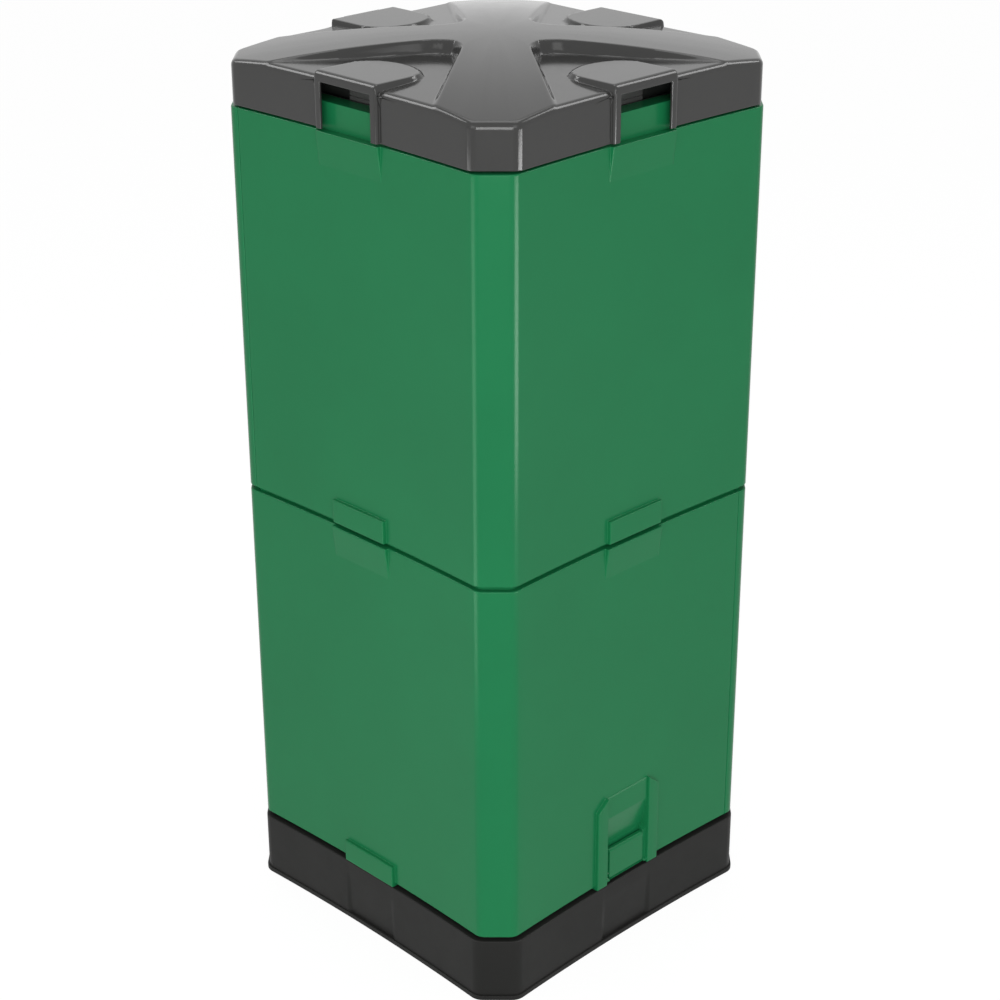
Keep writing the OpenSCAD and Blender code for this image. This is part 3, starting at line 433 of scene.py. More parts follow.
def clip_plate():
    """The plain plate over the finger recess; below it the wall keeps to the pocket."""
    return Raised(lambda z: PLATE_DEPTH,
                  lambda u, z: min(BAY_HALF - abs(u), PLATE_TOP - z) if z > POCKET_TOP else OUTSIDE)


def pocket_depth(u, z):
    """Depth of the clip's slot, of the cheeks beside it and of the finger recess over it."""
    behind = SLOT_DEPTH if abs(u) < CLIP_SLOT + 0.01 else CHEEK_DEPTH
    steps = [(FOOT - 1.0, HALF + 1.0), (SLOT_FOOT, behind), (SLOT_TOP, behind),
             (FINGER_FOOT, SLOT_DEPTH), (POCKET_TOP, PLATE_DEPTH)]
    for (z0, d0), (z1, d1) in zip(steps, steps[1:]):
        if z <= z1:
            return d0 + (d1 - d0) * (z - z0) / (z1 - z0)
    return PLATE_DEPTH


# Walls

PLAIN_COLUMNS = (20.0, 76.0, 100.0, 128.0, 156.0, 182.0, 204.0)
COLUMN_ROOM, SEAM_ROOM = 5, 6
AT_CORNER = 300.0
FOOT_ROUND = ((0.0, 1.2), (0.16, 0.6), (0.6, 0.16), (1.2, 0.0))
UNDER_IN, NECK_ROUND = 9.5, 0.8
Column = namedtuple("Column", "kind face at second", defaults=(False,))


def face_columns(features):
    """Places along a face: a cluster at each feature's edges, and an even spread between them."""
    cuts = set()
    for half in features:
        for e in STEP:
            cuts.add(round(half - e, 4))
    for u in PLAIN_COLUMNS:
        if all(abs(u - c) > COLUMN_ROOM for c in cuts):
            cuts.add(u)
    right = sorted(cuts)
    return [-u for u in reversed(right)] + [0.0] + right


def ledge_rows(z):
    """Heights of the rows at a raised area's top edge."""
    return [z - e for e in STEP]


class Wall:
    """One L-shaped panel, as rings from foot to top.

    Its outer path starts at seam a on the back face, runs round the left one and ends at seam b on the front.
    """

    def __init__(self, lap, back, features, left_halves, front_halves, pocket=False):
        gap = SEAM_GAP if back else 0.0
        self.end_a, self.end_b = SEAM + gap, SEAM - gap
        self.split_a, self.split_b = SPLIT - gap, SPLIT + gap
        self.lip_a, self.lip_b = SEAM - lap + gap, SEAM - lap - gap
        self.features, self.pocket, self.rings = features, pocket, []
        ends = [EDGE * k for k in reversed(BEND_SHARES)]
        self.cols = [Column("end", BACK, self.end_a + e) for e in ends]
        self.cols += self.corner_columns(BACK)
        self.cols += [Column("face", LEFT, u) for u in face_columns(left_halves)]
        self.cols += self.corner_columns(LEFT)
        self.cols += [Column("face", FRONT, u) for u in face_columns(front_halves)
                      if u < self.end_b - SEAM_ROOM]
        self.cols += [Column("end", FRONT, self.end_b - e) for e in reversed(ends)]

    @staticmethod
    def corner_columns(face):
        return ([Column("arc", face, a) for a in ARC]
                + [Column("arc", face, a + 45, True) for a in ARC])

    def surface(self, face, u, z, ground):
        """Depth of the wall's surface, where ground is the plain face."""
        if self.pocket and face == FRONT and abs(u) < BAY_HALF and z < POCKET_TOP:
            ground = pocket_depth(u, z)
        for raised in self.features.get(face, []):
            ground = max(ground, raised.over(ground, u, z))
        return ground

    def corner_point(self, col, plan, stop_a):
        """A point on a corner's bend, which seam a may cut short."""
        u, depth = plan.corner(col.at, col.second)
        if col.face == BACK and u < stop_a:
            return stop_a, plan.depth(stop_a)
        return u, depth

    def outer(self, outline, level, inset, shaped, read_z):
        """The outer path of one ring; level gives its height for a face and a place.

        A shaped ring follows the raised areas and the pocket at an inset, and read_z, if any, is the height
        at which it reads them. The tongue's rings stop at the lips, and all others at the seams.
        """
        tongue = outline.half < SPLIT
        stop_a = self.lip_a if tongue else self.end_a
        stop_b = self.lip_b if tongue else self.end_b
        path = []
        for col in self.cols:
            if col.kind == "arc":
                u, depth = self.corner_point(col, outline.inset(inset) if shaped else outline, stop_a)
                path.append((*on_face(col.face, u, depth), level(col.face, AT_CORNER)))
                continue
            u, e = col.at, WELL_INSIDE
            if col.kind == "end":
                e = u - self.end_a if col.face == BACK else self.end_b - u
                if tongue:
                    u = stop_a if col.face == BACK else stop_b
            elif not shaped:
                u *= outline.flat / WALL.flat
            if col.kind == "face" and col.face == FRONT:
                u = min(u, stop_b)
            z = level(col.face, u)
            depth = outline.depth(u)
            if shaped:
                depth = self.surface(col.face, u, z if read_z is None else read_z, depth) - inset
            if not tongue:
                depth -= edge_drop(e, EDGE)
            path.append((*on_face(col.face, u, depth), z))
        return path

    def ring(self, outer, inner_half, z):
        """Closes a ring: the outer path, the lip at seam b, the inner path and the lip at seam a."""
        inner = Outline(inner_half, INNER_LEG, INNER_BEND)
        first, last = outer[0], outer[-1]
        lip_a, lip_b = min(first[1], self.split_a), min(-last[1], self.split_b)
        bends = [inner.corner(a, False) for a in (0.0, 22.5, 45.0)]
        bends += [inner.corner(a, True) for a in (45.0, 67.5, 90.0)]
        inside = [on_face(face, u, d) for face in (BACK, LEFT) for u, d in bends]
        ring = list(outer)
        ring.append((last[0], -lip_b, z))
        ring.append((self.lip_b, -max(lip_b, inner_half), z))
        ring.append((self.lip_b, -inner_half, z))
        ring += [(x, y, z) for x, y in reversed(inside)]
        ring.append((-self.lip_a, inner_half, z))
        ring.append((-self.lip_a, max(lip_a, inner_half), z))
        ring.append((first[0], lip_a, z))
        return ring

    def add(self, outline, level, inner_half, inner_z, inset=0.0, shaped=False, read_z=None):
        """Adds a ring; level is a height, or gives one for a face and a place."""
        height = level if callable(level) else lambda face, u: level
        self.rings.append(self.ring(self.outer(outline, height, inset, shaped, read_z), inner_half, inner_z))


def uneven_foot(back):
    """Gives the level of the lower tier's foot, which drops at the tabs and the uprights."""
    def hangs(face, u):
        if face == LEFT or (back and face == FRONT):
            return abs(u) <= TAB_HALF
        return face == FRONT and BAY_HALF <= abs(u) <= UPRIGHT_OUT

    def foot(rise):
        return lambda face, u: FOOT - (FOOT_DROP if hangs(face, u) else 0.0) + rise
    return foot


def slanted(z):
    """A level that follows the sloping tops of the uprights."""
    def level(face, u):
        out = min(max(abs(u) - BAY_HALF, 0.0), UPRIGHT_OUT - BAY_HALF)
        return z - UPRIGHT_SLOPE * out if face == FRONT else z
    return level


def add_top_edge(wall, top, inner, inner_z):
    """The rounded top edge of a tier's outer face."""
    for k in BEND_SHARES:
        wall.add(WALL, top - TOP_EDGE * k, inner, inner_z, edge_drop(TOP_EDGE * k, TOP_EDGE), True)


def lower_wall(back):
    """A panel of the lower tier; the back one is the front one turned half round."""
    tab_top = FOOT - FOOT_DROP + TAB_RISE
    plain = [tab(tab_top), fading_boss(LOWER_TOP, LOWER_BOSS)]
    fancy = [upright(), clip_plate(), fading_boss(LOWER_TOP, LOWER_BOSS)]
    halves = [TAB_HALF, LOWER_BOSS]
    clip_halves = [CLIP_SLOT, BAY_HALF, LOWER_BOSS, UPRIGHT_OUT]
    wall = Wall(LOWER_LAP, back, {LEFT: plain, FRONT: plain if back else fancy}, halves,
                halves if back else clip_halves, pocket=not back)
    foot = uneven_foot(back)
    tab_middle, above_uprights = 110.0, 300.0
    for level in (FOOT, foot(0.0)):
        wall.add(WALL, level, INNER, FOOT, UNDER_IN, True, tab_middle if back else above_uprights)
    for rise, inset in FOOT_ROUND:
        wall.add(WALL, foot(rise), INNER, FOOT, inset, True)
    pocket_rows = [142.0, SLOT_TOP, 155.0, FINGER_FOOT, 180.0, POCKET_TOP - 0.1, POCKET_TOP + 0.1]
    for z in [102.8, SLOT_FOOT, 116.0] + ledge_rows(tab_top) + pocket_rows:
        wall.add(WALL, z, INNER, FOOT, shaped=True)
    if not back:
        for e in STEP:
            wall.add(WALL, slanted(PLATE_TOP - e * 0.5 - 1.0), INNER, FOOT, shaped=True)
        for e in STEP:
            wall.add(WALL, slanted(UPRIGHT_TOP - e * UPRIGHT_SLANT + 0.4), INNER, FOOT, shaped=True)
    boss_foot = LOWER_TOP - BOSS_HEIGHT
    for z in (above_uprights, 400.0, 500.0, boss_foot - 0.1, boss_foot + 0.3, 590.0):
        wall.add(WALL, z, INNER, FOOT, shaped=True)
    wall.add(WALL, RABBET, INNER, RABBET, shaped=True)
    split = SPLIT + SEAM_GAP if back else SPLIT
    for z in (RABBET, 612.0):
        wall.add(WALL, z, split, RABBET, shaped=True)
    add_top_edge(wall, LOWER_TOP, split, RABBET)
    top = UPPER_FOOT if back else UPPER_FOOT - SEAT_SLIP
    wall.add(SEAT, LOWER_TOP, split, RABBET)
    wall.add(SEAT, top - NECK_ROUND, split, RABBET)
    wall.add(SEAT.inset(NECK_ROUND), top, split, top)
    return wall


def upper_wall(back):
    """A panel of the upper tier, made like the lower one; its mesh swaps x and y."""
    tab_top = UPPER_FOOT + TAB_RISE
    plain = [tab(tab_top)]
    bossed = plain + [fading_boss(SHOULDER, UPPER_BOSS)]
    halves = [TAB_HALF, UPPER_BOSS]
    wall = Wall(UPPER_LAP, back, {LEFT: plain if back else bossed, FRONT: bossed}, halves, halves)
    tongue = Outline(TONGUE_HALF, INNER_LEG, INNER_BEND)
    neck = Outline(NECK_HALF, INNER_LEG, INNER_BEND)
    wall.add(tongue.inset(NECK_ROUND), TONGUE_FOOT, INNER, TONGUE_FOOT)
    wall.add(tongue, TONGUE_FOOT + NECK_ROUND, INNER, TONGUE_FOOT)
    wall.add(tongue, UPPER_FOOT, INNER, TONGUE_FOOT)
    for rise, inset in FOOT_ROUND:
        wall.add(WALL, UPPER_FOOT + rise, INNER, TONGUE_FOOT, inset, True)
    boss_foot = SHOULDER - BOSS_HEIGHT
    rows = [645.0] + ledge_rows(tab_top) + [700.0, 800.0, 900.0, 1000.0, 1080.0]
    for z in rows + [boss_foot - 0.1, boss_foot + 0.3, 1135.0, 1150.0]:
        wall.add(WALL, z, INNER, TONGUE_FOOT, shaped=True)
    add_top_edge(wall, SHOULDER, INNER, TONGUE_FOOT)
    wall.add(neck, SHOULDER, INNER, TONGUE_FOOT)
    wall.add(neck, NECK_TOP - 1.0, INNER, TONGUE_FOOT)
    wall.add(neck.inset(0.3), NECK_TOP - 0.3, INNER, TONGUE_FOOT)
    wall.add(neck.inset(1.0), NECK_TOP, INNER, NECK_TOP)
    return wall


for tier, make, mirrored in (("lower", lower_wall, False), ("upper", upper_wall, True)):
    for side in ("front", "back"):
        name = f"{tier}_{side}"
        skin = Skin()
        skin.loft(make(side == "back").rings)
        mesh = skin.mesh(f"{name}_panel", mirrored)
        if side == "back":
            mesh.transform(Matrix.Rotation(math.pi, 4, "Z"))
        loose = name == "lower_front"
        piece(f"{name}_panel", mesh, green, "front_panel" if loose else "base",
              [f"{name}_shell", "clip_housing"] if loose else [f"{name}_shell"])

# Lid, in millimetres: u runs across a side and r out from the crown, and a row starts at its own r

LID = Outline(260.5, 40.0, 19.0, DISH)
LID_T, RIM_ROUND = 3.5, 1.0
CROWN, DOME_R = 1256.0, 1861.7
PAD_TOP, LIP, SKIRT_MIDDLE, SKIRT = 1239.5, 1226.0, 1200.0, 1167.0
PAD, NOTCH, PAD_END, PAD_SAG, PAD_NOSE = 58.0, 46.0, 157.0, 20.0, 22.0
POINT_R, POINT_HALF, SPREAD = 72.0, 18.0, 0.778
PANEL_LOW, PANEL_RISE, PANEL_EASE, PANEL_SIDE = 1231.0, 7.0, 10, 0.789
TOP_ROUND, HINGE_ROUND, JAMB_ROUND, HINGE_HALF = 7.0, 2.0, 4.0, 62
RIM_START, RIM_RUN = 200, 53.5
BOW_START, BOW_END, BOW_RUN = 110, 165, 40
PAD_OPEN, PAD_RUN, PAD_SLOPE, PAD_EASE = 77, 80, 0.85, 4.5
PAD_STEPS = (-6, -4, -2.6, -1.5, -0.75, -0.2, 0.0, HAIR, 0.6, 1.3, 2.2, 3.5)
PANEL_STEPS = (-12.7, -10.6, -8.8, -7, -5.2, -3.5, -1.7, 0, 3)
ROWS = (0, 6, 14, 24, 34, 44, 54, 62, 67, 69.5, 72, 74, 76, 78, 80, 82, 84.5, 88, 94, 102, 111, 120, 129,
        138, 145, 149, 151.5, 153, 154.5, 156, 157, 158, 159.5, 161.5, 164, 167, 170, 173, 176, 179, 182,
        185, 188, 192, 198, 206, 215, 224, 232, 239, 245, 251.5, 253.5, 255, 256.5, 258, 259.3, 260.15, 260.5)


def panel_edge(r):
    """Half width of a sunk panel, r from the crown."""
    return POINT_HALF + SPREAD * (r - POINT_R) if r >= POINT_R else r * POINT_HALF / POINT_R


def pad_edge(row):
    """Where the grid keeps the pad's columns: they open out from the panel's middle to the pad's sides."""
    if row >= PAD_END:
        return PAD
    narrow = 0.35 * panel_edge(row)
    return narrow + (PAD - narrow) * step_up((row - PAD_OPEN) / PAD_RUN)


def rim_share(row):
    """How far a row has turned from the crown's square plan into the lid's outline."""
    return step_up((row - RIM_START) / RIM_RUN)


def row_depth(row, u):
    """Where a row lies, u across: square at the crown, bowed at the pad's nose, the outline at the edge."""
    swell = min(step_up((row - BOW_START) / BOW_RUN), 1 - step_up((row - BOW_END) / BOW_RUN))
    fade = 1 - step_up((u / max(row, 1.0) - 0.4) / 0.5)
    plain = row + PAD_SAG * min(1.0, u / 44) ** 2 * swell * fade
    inset = LID.half - row
    if u < PAD:
        rim = HALF - inset - edge_drop(PAD - u, JAMB_ROUND)
    else:
        rim = LID.inset(inset).depth(u) + edge_drop(u - PAD - HAIR, FILLET)
    return plain + (rim - plain) * rim_share(row)


def lid_height(u, r):
    """The dome, with a panel sunk into it and a pad raised on that."""
    dome = CROWN - DOME_R + math.sqrt(DOME_R ** 2 - u * u - r * r)
    low = PANEL_LOW + PANEL_RISE * (HALF - r) / (HALF - POINT_R)
    inside = soft_min((panel_edge(r) - u) * PANEL_SIDE, r - POINT_R, PAD_NOSE)
    z = dome - max(dome - low, 0.0) * ease(inside / PANEL_EASE)
    on_pad = soft_min(PAD - u, (r - PAD_END - PAD_SAG * (u / PAD) ** 2) * PAD_SLOPE, PAD_NOSE)
    return z + max(PAD_TOP - z, 0.0) * ease((on_pad + 1) / PAD_EASE)


def diagonal_of(row):
    """Where a row meets the lid's diagonal."""
    low, high = 0.0, 300.0
    for _ in range(40):
        mid = (low + high) / 2
        low, high = (mid, high) if row_depth(row, mid) > mid else (low, mid)
    return (low + high) / 2


def lid_columns(row):
    """Places across one row, from the middle to the diagonal: over the pad, the panel's edge and the rim."""
    diagonal = diagonal_of(row)
    pad = pad_edge(row)
    near = 0.15 * step_up((row - 60) / 30) + 0.85 * step_up((row - 138) / 12)
    cols = [pad * f for f in (0, 0.2, 0.4, 0.6, NOTCH / PAD, 0.86)] + [pad + e * near for e in PAD_STEPS]
    edge = panel_edge(row)
    for _ in range(6):
        edge = panel_edge(row_depth(row, edge))
    wide = min(1.0, max(0.0, (edge - pad - 1) / 13))
    start, stop = cols[-1], max(cols[-1], edge + PANEL_STEPS[0] * wide)
    cols += [start + (stop - start) * f for f in (0.33, 0.67)]
    cols += [max(stop, edge + e * wide) for e in PANEL_STEPS]
    bend = max(LID.bend - (LID.half - row), 3.0)
    outer = [185.0, 200.0] + [LID.flat + bend * math.sin(math.radians(a)) for a in ARC]
    outer.append((outer[-1] + diagonal) / 2)
    share = rim_share(row)
    for u in outer:
        cols.append(max(cols[-1], (1 - share) * diagonal * u / 240.5 + share * u))
    cols.append(diagonal)
    return [min(u, diagonal) for u in cols]


def lid_grid(face):
    """Rows of one half of a side, from the crown over the edge to the skirt's foot."""
    grid = []
    for row in ROWS:
        line = []
        for u in lid_columns(row):
            r = row_depth(row, u) if row else 0.0
            bend = TOP_ROUND
            if face == BACK:
                bend = HINGE_ROUND + (TOP_ROUND - HINGE_ROUND) * ease((u - HINGE_HALF) / 30)
            line.append((u, r, lid_height(u, r) - edge_drop(LID.half - row, bend)))
        u, r, z = line[-1]
        line[-1] = ((u + r) / 2, (u + r) / 2, z)
        grid.append(line)
    edge = grid[-1]
    for share in (0.5, 1.0):
        grid.append([(u, r, z + (LIP - z) * share if u <= PAD + 4 else z - 4 * share) for u, r, z in edge])
    for level in (SKIRT_MIDDLE, SKIRT):
        grid.append([(u, r, level) for u, r, _ in edge])
    return grid


def lid_skin():
    """The lid's outer surface, with a notch in the skirt under each pad."""
    skin = Skin()
    for face in (FRONT, RIGHT, BACK, LEFT):
        grid = lid_grid(face)
        for side in (1, -1):
            flat = [[(*on_face(face, side * u, r), z) for u, r, z in line] for line in grid]
            for i, (line, after) in enumerate(zip(flat, flat[1:])):
                for j in range(len(line) - 1):
                    if i > len(ROWS) and grid[i][j + 1][0] <= NOTCH + 0.01:
                        continue
                    quad = [line[j], after[j], after[j + 1], line[j + 1]]
                    skin.face(*(quad if side > 0 else reversed(quad)))
    return skin


def thick_shell(name, skin, thick):
    """Gives a surface its thickness inwards, and marks its rims for a bevel."""
    mesh = skin.mesh(name)
    work = bmesh.new()
    work.from_mesh(mesh)
    work.normal_update()
    weight = work.edges.layers.float.new("bevel_weight_edge")
    faces, rims = list(work.faces), [e for e in work.edges if len(e.link_faces) == 1]
    inner = {v: work.verts.new(v.co - v.normal * thick * MM) for v in list(work.verts)}
    for f in faces:
        work.faces.new([inner[v] for v in reversed(f.verts)])
    for e in rims:
        loop = e.link_loops[0]
        a, b = loop.vert, loop.link_loop_next.vert
        work.faces.new([b, a, inner[a], inner[b]])
        e[weight] = 1.0
        work.edges.get((inner[a], inner[b]))[weight] = 1.0
    work.to_mesh(mesh)
    work.free()
    return mesh


lid = piece("lid_cover", thick_shell("lid_cover", lid_skin(), LID_T), lid_grey, "lid", ["lid_shell"],
            35)
rim = lid.modifiers.new("rim", "BEVEL")
rim.limit_method, rim.width, rim.segments = "WEIGHT", RIM_ROUND * MM, 3
rim.use_clamp_overlap = True
lid.modifiers.move(lid.modifiers.find("rim"), 0)

# Lugs for the catches' pins and bosses for the liner's screws, inside the lid

SCREW_BOSS_AT, SCREW_BOSS_R = 157.0, 7

lugs = Skin()
for face in (FRONT, RIGHT, LEFT):
    for side in (1, -1):
        lugs.block(*sorted((side * 40.0, side * 45.0)), 208.0, 220.0, 1211.0, 1236.0, face)
for x in (-SCREW_BOSS_AT, SCREW_BOSS_AT):
    for y in (-SCREW_BOSS_AT, SCREW_BOSS_AT):
        ring = [(x + SCREW_BOSS_R * math.cos(math.radians(a)), y + SCREW_BOSS_R * math.sin(math.radians(a)))
                for a in range(0, 360, 15)]
        lugs.loft([[(px, py, z) for px, py in ring] for z in (1184.5, 1236.5)])
round_edges(piece("lid_lugs", lugs.mesh("lid_lugs"), lid_grey, "lid", []), 0.8)

# Base, in millimetres

BASE_COLUMNS = (20.0, 36.0, 42.0, 44.0, 46.0, 48.0, 50.0, 52.0, 80.0, 110.0, 140.0, 170.0, 195.0)
RECESS_TOP, RECESS_FOOT, RECESS_HALF, RECESS_BACK = 76.0, 13.0, 52.0, 251.0
RECESS_FACE, RECESS_SLOPE, RECESS_SIDE = 258.0, 2.5, 10.0
SKIN_IN, SKIRT_HALF, FLANGE, FLANGE_H = 260.5, 264.0, 266.0, 7.0
DECK, BASE_TOP, BASE_ROUND, BORE_HALF = 91.5, 95.0, 1.8, 219.3
RIB_AT, RIB_HALF, RIB_END, RIB_TOP = 130.0, 1.75, 256.0, 13.0


def base_plan(half):
    return Outline(half, 40.0, 22.0, DISH)


def base_ring(plan, z, recessed=False, backed=False):
    """One closed line round the base; recessed follows the shallow panels, backed the blocks behind them."""
    ring = []
    for face in (FRONT, RIGHT, BACK, LEFT):
        for u in [-u for u in reversed(BASE_COLUMNS)] + [0.0] + list(BASE_COLUMNS):
            depth = plan.depth(u)
            if recessed:
                level = RECESS_FACE - RECESS_SLOPE * min(1.0, (RECESS_TOP - z) / (RECESS_TOP - RECESS_FOOT))
                depth += (min(level, depth) - depth) * ease((RECESS_HALF - abs(u)) / RECESS_SIDE)
            if backed and abs(u) < RECESS_HALF - 0.1:
                depth = RECESS_BACK
            ring.append((*on_face(face, u, depth), z))
        for second in (False, True):
            for a in ARC:
                u, depth = plan.corner(a + 45 * second, second)
                ring.append((*on_face(face, u, depth), z))
    return ring


def plinth_rings():
    """Rings from the foot up the outside, over the top and down the inside."""
    skin, skirt, bore = base_plan(SKIN_IN), base_plan(SKIRT_HALF), Outline(BORE_HALF, INNER_LEG, INNER_BEND)
    flange = ((0.7, 0.0), (0.2, 0.2), (0.0, 0.7), (0.0, 6.0), (0.3, 6.7), (1.0, 7.0))
    rings = [base_ring(skin, 0.0)] + [base_ring(base_plan(FLANGE - d), z) for d, z in flange]
    rings += [base_ring(skirt, z, recessed=True)
              for z in (FLANGE_H, 10.0, RECESS_FOOT, 30.0, 50.0, 70.0, RECESS_TOP)]
    for k in (1.0, 0.6, 0.3, 0.1, 0.0):
        fall = BASE_ROUND * k
        rings.append(base_ring(base_plan(SKIRT_HALF - edge_drop(fall, BASE_ROUND)), BASE_TOP - fall))
    rings += [base_ring(SEAT, BASE_TOP), base_ring(SEAT, FOOT - 0.7), base_ring(SEAT.inset(0.7), FOOT),
              base_ring(bore, FOOT), base_ring(bore, DECK),
              base_ring(skin, DECK, backed=True), base_ring(skin, FLANGE_H, backed=True),
              base_ring(skin, FLANGE_H), base_ring(skin, 0.0)]
    return rings


def cut(mesh, *blocks):
    """The mesh with blocks on its faces cut away."""
    tool = Skin()
    for block in blocks:
        tool.block(*block)
    host = bpy.data.objects.new("host", mesh)
    cutter = bpy.data.objects.new("cutter", tool.mesh("cutter"))
    for obj in (host, cutter):
        bpy.context.scene.collection.objects.link(obj)
    mod = host.modifiers.new("cut", "BOOLEAN")
    mod.object, mod.operation, mod.solver = cutter, "DIFFERENCE", "EXACT"
    bpy.context.view_layer.update()
    result = bpy.data.meshes.new_from_object(host.evaluated_get(bpy.context.evaluated_depsgraph_get()))
    bpy.data.objects.remove(host)
    bpy.data.objects.remove(cutter)
    return result


AIR_SLOT = (-48, 48, 240, 280, FLANGE_H + 0.05, RECESS_FOOT, RIGHT)
TAP_BAY = (-42, 42, 240, 280, FLANGE_H + 0.05, 80, BACK)

plinth = Skin()
plinth.loft(plinth_rings(), shut=False)
mesh = cut(plinth.mesh("base_plinth"), AIR_SLOT, TAP_BAY)
mesh.name = "base_plinth"
piece("base_plinth", mesh, base_grey, "base", ["base_ring"])
ribs = Skin()
for face in (FRONT, RIGHT):
    for u in (-RIB_AT, RIB_AT):
        ribs.block(u - RIB_HALF, u + RIB_HALF, -RIB_END, RIB_END, 0.0, RIB_TOP, face)
piece("base_ribs", ribs.mesh("base_ribs"), base_grey, "base", [])

# Release clip and catches, in millimetres

CLIP_HALF, CLIP_FACE, CLIP_BACK, CLIP_FOOT, CLIP_TOP, CLIP_BEND = 34.0, 256.0, 249.0, 104.0, 150.0, 4.0
CATCH_HALF = 38.0
CATCH_SIDE = [(215.5, 1221.0), (218.5, 1218.0), (218.5, 1204.4), (217.0, 1204.4), (217.0, 1203.2),
              (218.5, 1203.2), (218.5, 1196.5), (220.6, 1190.5), (220.6, 1187.5), (209.5, 1187.5),
              (209.5, 1218.0), (212.5, 1221.0)]


def bent(d, z, radius, degrees):
    """Points of a rounded outer top edge whose corner is at depth d and height z."""
    return [(d - radius + radius * math.cos(math.radians(a)), z - radius + radius * math.sin(math.radians(a)))
            for a in degrees]


clip = Skin()
clip.prism(CLIP_HALF, bent(CLIP_FACE, CLIP_TOP, CLIP_BEND, (90, 70, 50, 30, 15, 0))
           + [(CLIP_FACE, CLIP_FOOT), (CLIP_BACK, CLIP_FOOT), (CLIP_BACK, CLIP_TOP)])
clip_piece = piece("clip_tongue", clip.mesh("clip_tongue"), green, "release_clip", ["release_clip"],
                   0)
round_edges(clip_piece, 0.9, 3, 40)

for side, face in (("front", FRONT), ("right", RIGHT), ("left", LEFT)):
    catch = Skin()
    catch.prism(CATCH_HALF, CATCH_SIDE, face)
    # The catch takes the lightened grey, painted light in the notch's shade.
    catch_piece = piece(f"catch_{side}_block", catch.mesh(f"catch_{side}_block"), catch_grey_painted_light,
                        f"catch_{side}", [f"catch_{side}"], 0)
    round_edges(catch_piece, 0.4, 2, 30)

# Screws

HEAD_R, HEAD_H, SHANK_R, TIP = 5.0, 2.6, 2.25, 1.5
SOCKET_R, SOCKET_DEEP, SCREW_SIDES = 2.0, 1.6, 24


def screw_ring(radius, z, six_sided):
    """A ring of a screw, round or six-sided."""
    ring = []
    for k in range(SCREW_SIDES):
        a = math.radians(360 / SCREW_SIDES * k)
        r = radius / math.cos(a % math.radians(60) - math.radians(30)) if six_sided else radius
        ring.append((r * math.cos(a), r * math.sin(a), z))
    return ring


def screw_form(length):
    """A pan-head screw with a hexagon socket; its head's top is at the origin and it points up."""
    socket = [(0.1, SOCKET_DEEP), (SOCKET_R, SOCKET_DEEP), (SOCKET_R, 0.15), (SOCKET_R + 0.25, 0.0)]
    head = [(HEAD_R - 1.4, 0.0), (HEAD_R - 0.6, 0.2), (HEAD_R - 0.1, 0.7), (HEAD_R, 1.1), (HEAD_R, HEAD_H)]
    shank = [(SHANK_R, HEAD_H), (SHANK_R, length - TIP), (SHANK_R * 0.4, length)]
    skin = Skin()
    skin.loft([screw_ring(radius, z, True) for radius, z in socket]
              + [screw_ring(radius, z, False) for radius, z in head + shank])
    return skin.mesh("screw_form")


# Reading the screws' places from the frame, in metres

MERGE, SAME_PLANE, PAST_SHANK = 0.00002, 0.0001, 0.003


def loose_parts(node):
    """The separate solids of a CAD node, as lists of points in metres."""
    solid = frame["nodes"][node]
    work = bmesh.new()
    work.from_mesh(solid.data)
    bmesh.ops.remove_doubles(work, verts=work.verts, dist=MERGE)
    left, parts = set(work.verts), []
    while left:
        group, edge = [], [left.pop()]
        while edge:
            v = edge.pop()
            group.append(solid.matrix_world @ v.co)
            for e in v.link_edges:
                w = e.other_vert(v)
                if w in left:
                    left.remove(w)
                    edge.append(w)
        parts.append(group)
    work.free()
    return sorted(parts, key=lambda g: tuple(round(sum(p[k] for p in g) / len(g), 4) for k in range(3)))


def head_and_way(group):
    """Middle of a screw's head, the way that the screw points, and its length."""
    low = Vector([min(p[k] for p in group) for k in range(3)])
    high = Vector([max(p[k] for p in group) for k in range(3)])
    axis = max(range(3), key=lambda k: high[k] - low[k])
    middle = (low + high) / 2
    reach = [Vector([p[k] - middle[k] if k != axis else 0 for k in range(3)]).length
             for p in group if abs(p[axis] - low[axis]) < SAME_PLANE]
    head_low = max(reach) > PAST_SHANK
    head, way = middle.copy(), Vector((0, 0, 0))
    head[axis] = low[axis] if head_low else high[axis]
    way[axis] = 1 if head_low else -1
    return head, way, high[axis] - low[axis]


def repeat_tree():
    """Geometry Nodes group: a form on each point, turned by the attribute named turn."""
    tree = bpy.data.node_groups.new("repeat_on_points", "GeometryNodeTree")
    for label, kind in (("Points", "Geometry"), ("Form", "Object"), ("Finish", "Material")):
        tree.interface.new_socket(label, in_out="INPUT", socket_type=f"NodeSocket{kind}")
    tree.interface.new_socket("Result", in_out="OUTPUT", socket_type="NodeSocketGeometry")
    nodes, links = tree.nodes, tree.links
    given, result = nodes.new("NodeGroupInput"), nodes.new("NodeGroupOutput")
    form = nodes.new("GeometryNodeObjectInfo")
    turn = nodes.new("GeometryNodeInputNamedAttribute")
    turn.data_type = "FLOAT_VECTOR"
    turn.inputs["Name"].default_value = "turn"
    spread = nodes.new("GeometryNodeInstanceOnPoints")
    real, finish = nodes.new("GeometryNodeRealizeInstances"), nodes.new("GeometryNodeSetMaterial")
    links.new(given.outputs["Points"], spread.inputs["Points"])
    links.new(given.outputs["Form"], form.inputs["Object"])
    links.new(form.outputs["Geometry"], spread.inputs["Instance"])
    links.new(turn.outputs["Attribute"], spread.inputs["Rotation"])
    links.new(spread.outputs["Instances"], real.inputs["Geometry"])
    links.new(real.outputs["Geometry"], finish.inputs["Geometry"])
    links.new(given.outputs["Finish"], finish.inputs["Material"])
    links.new(finish.outputs["Geometry"], result.inputs["Result"])
    return tree


REPEAT = repeat_tree()


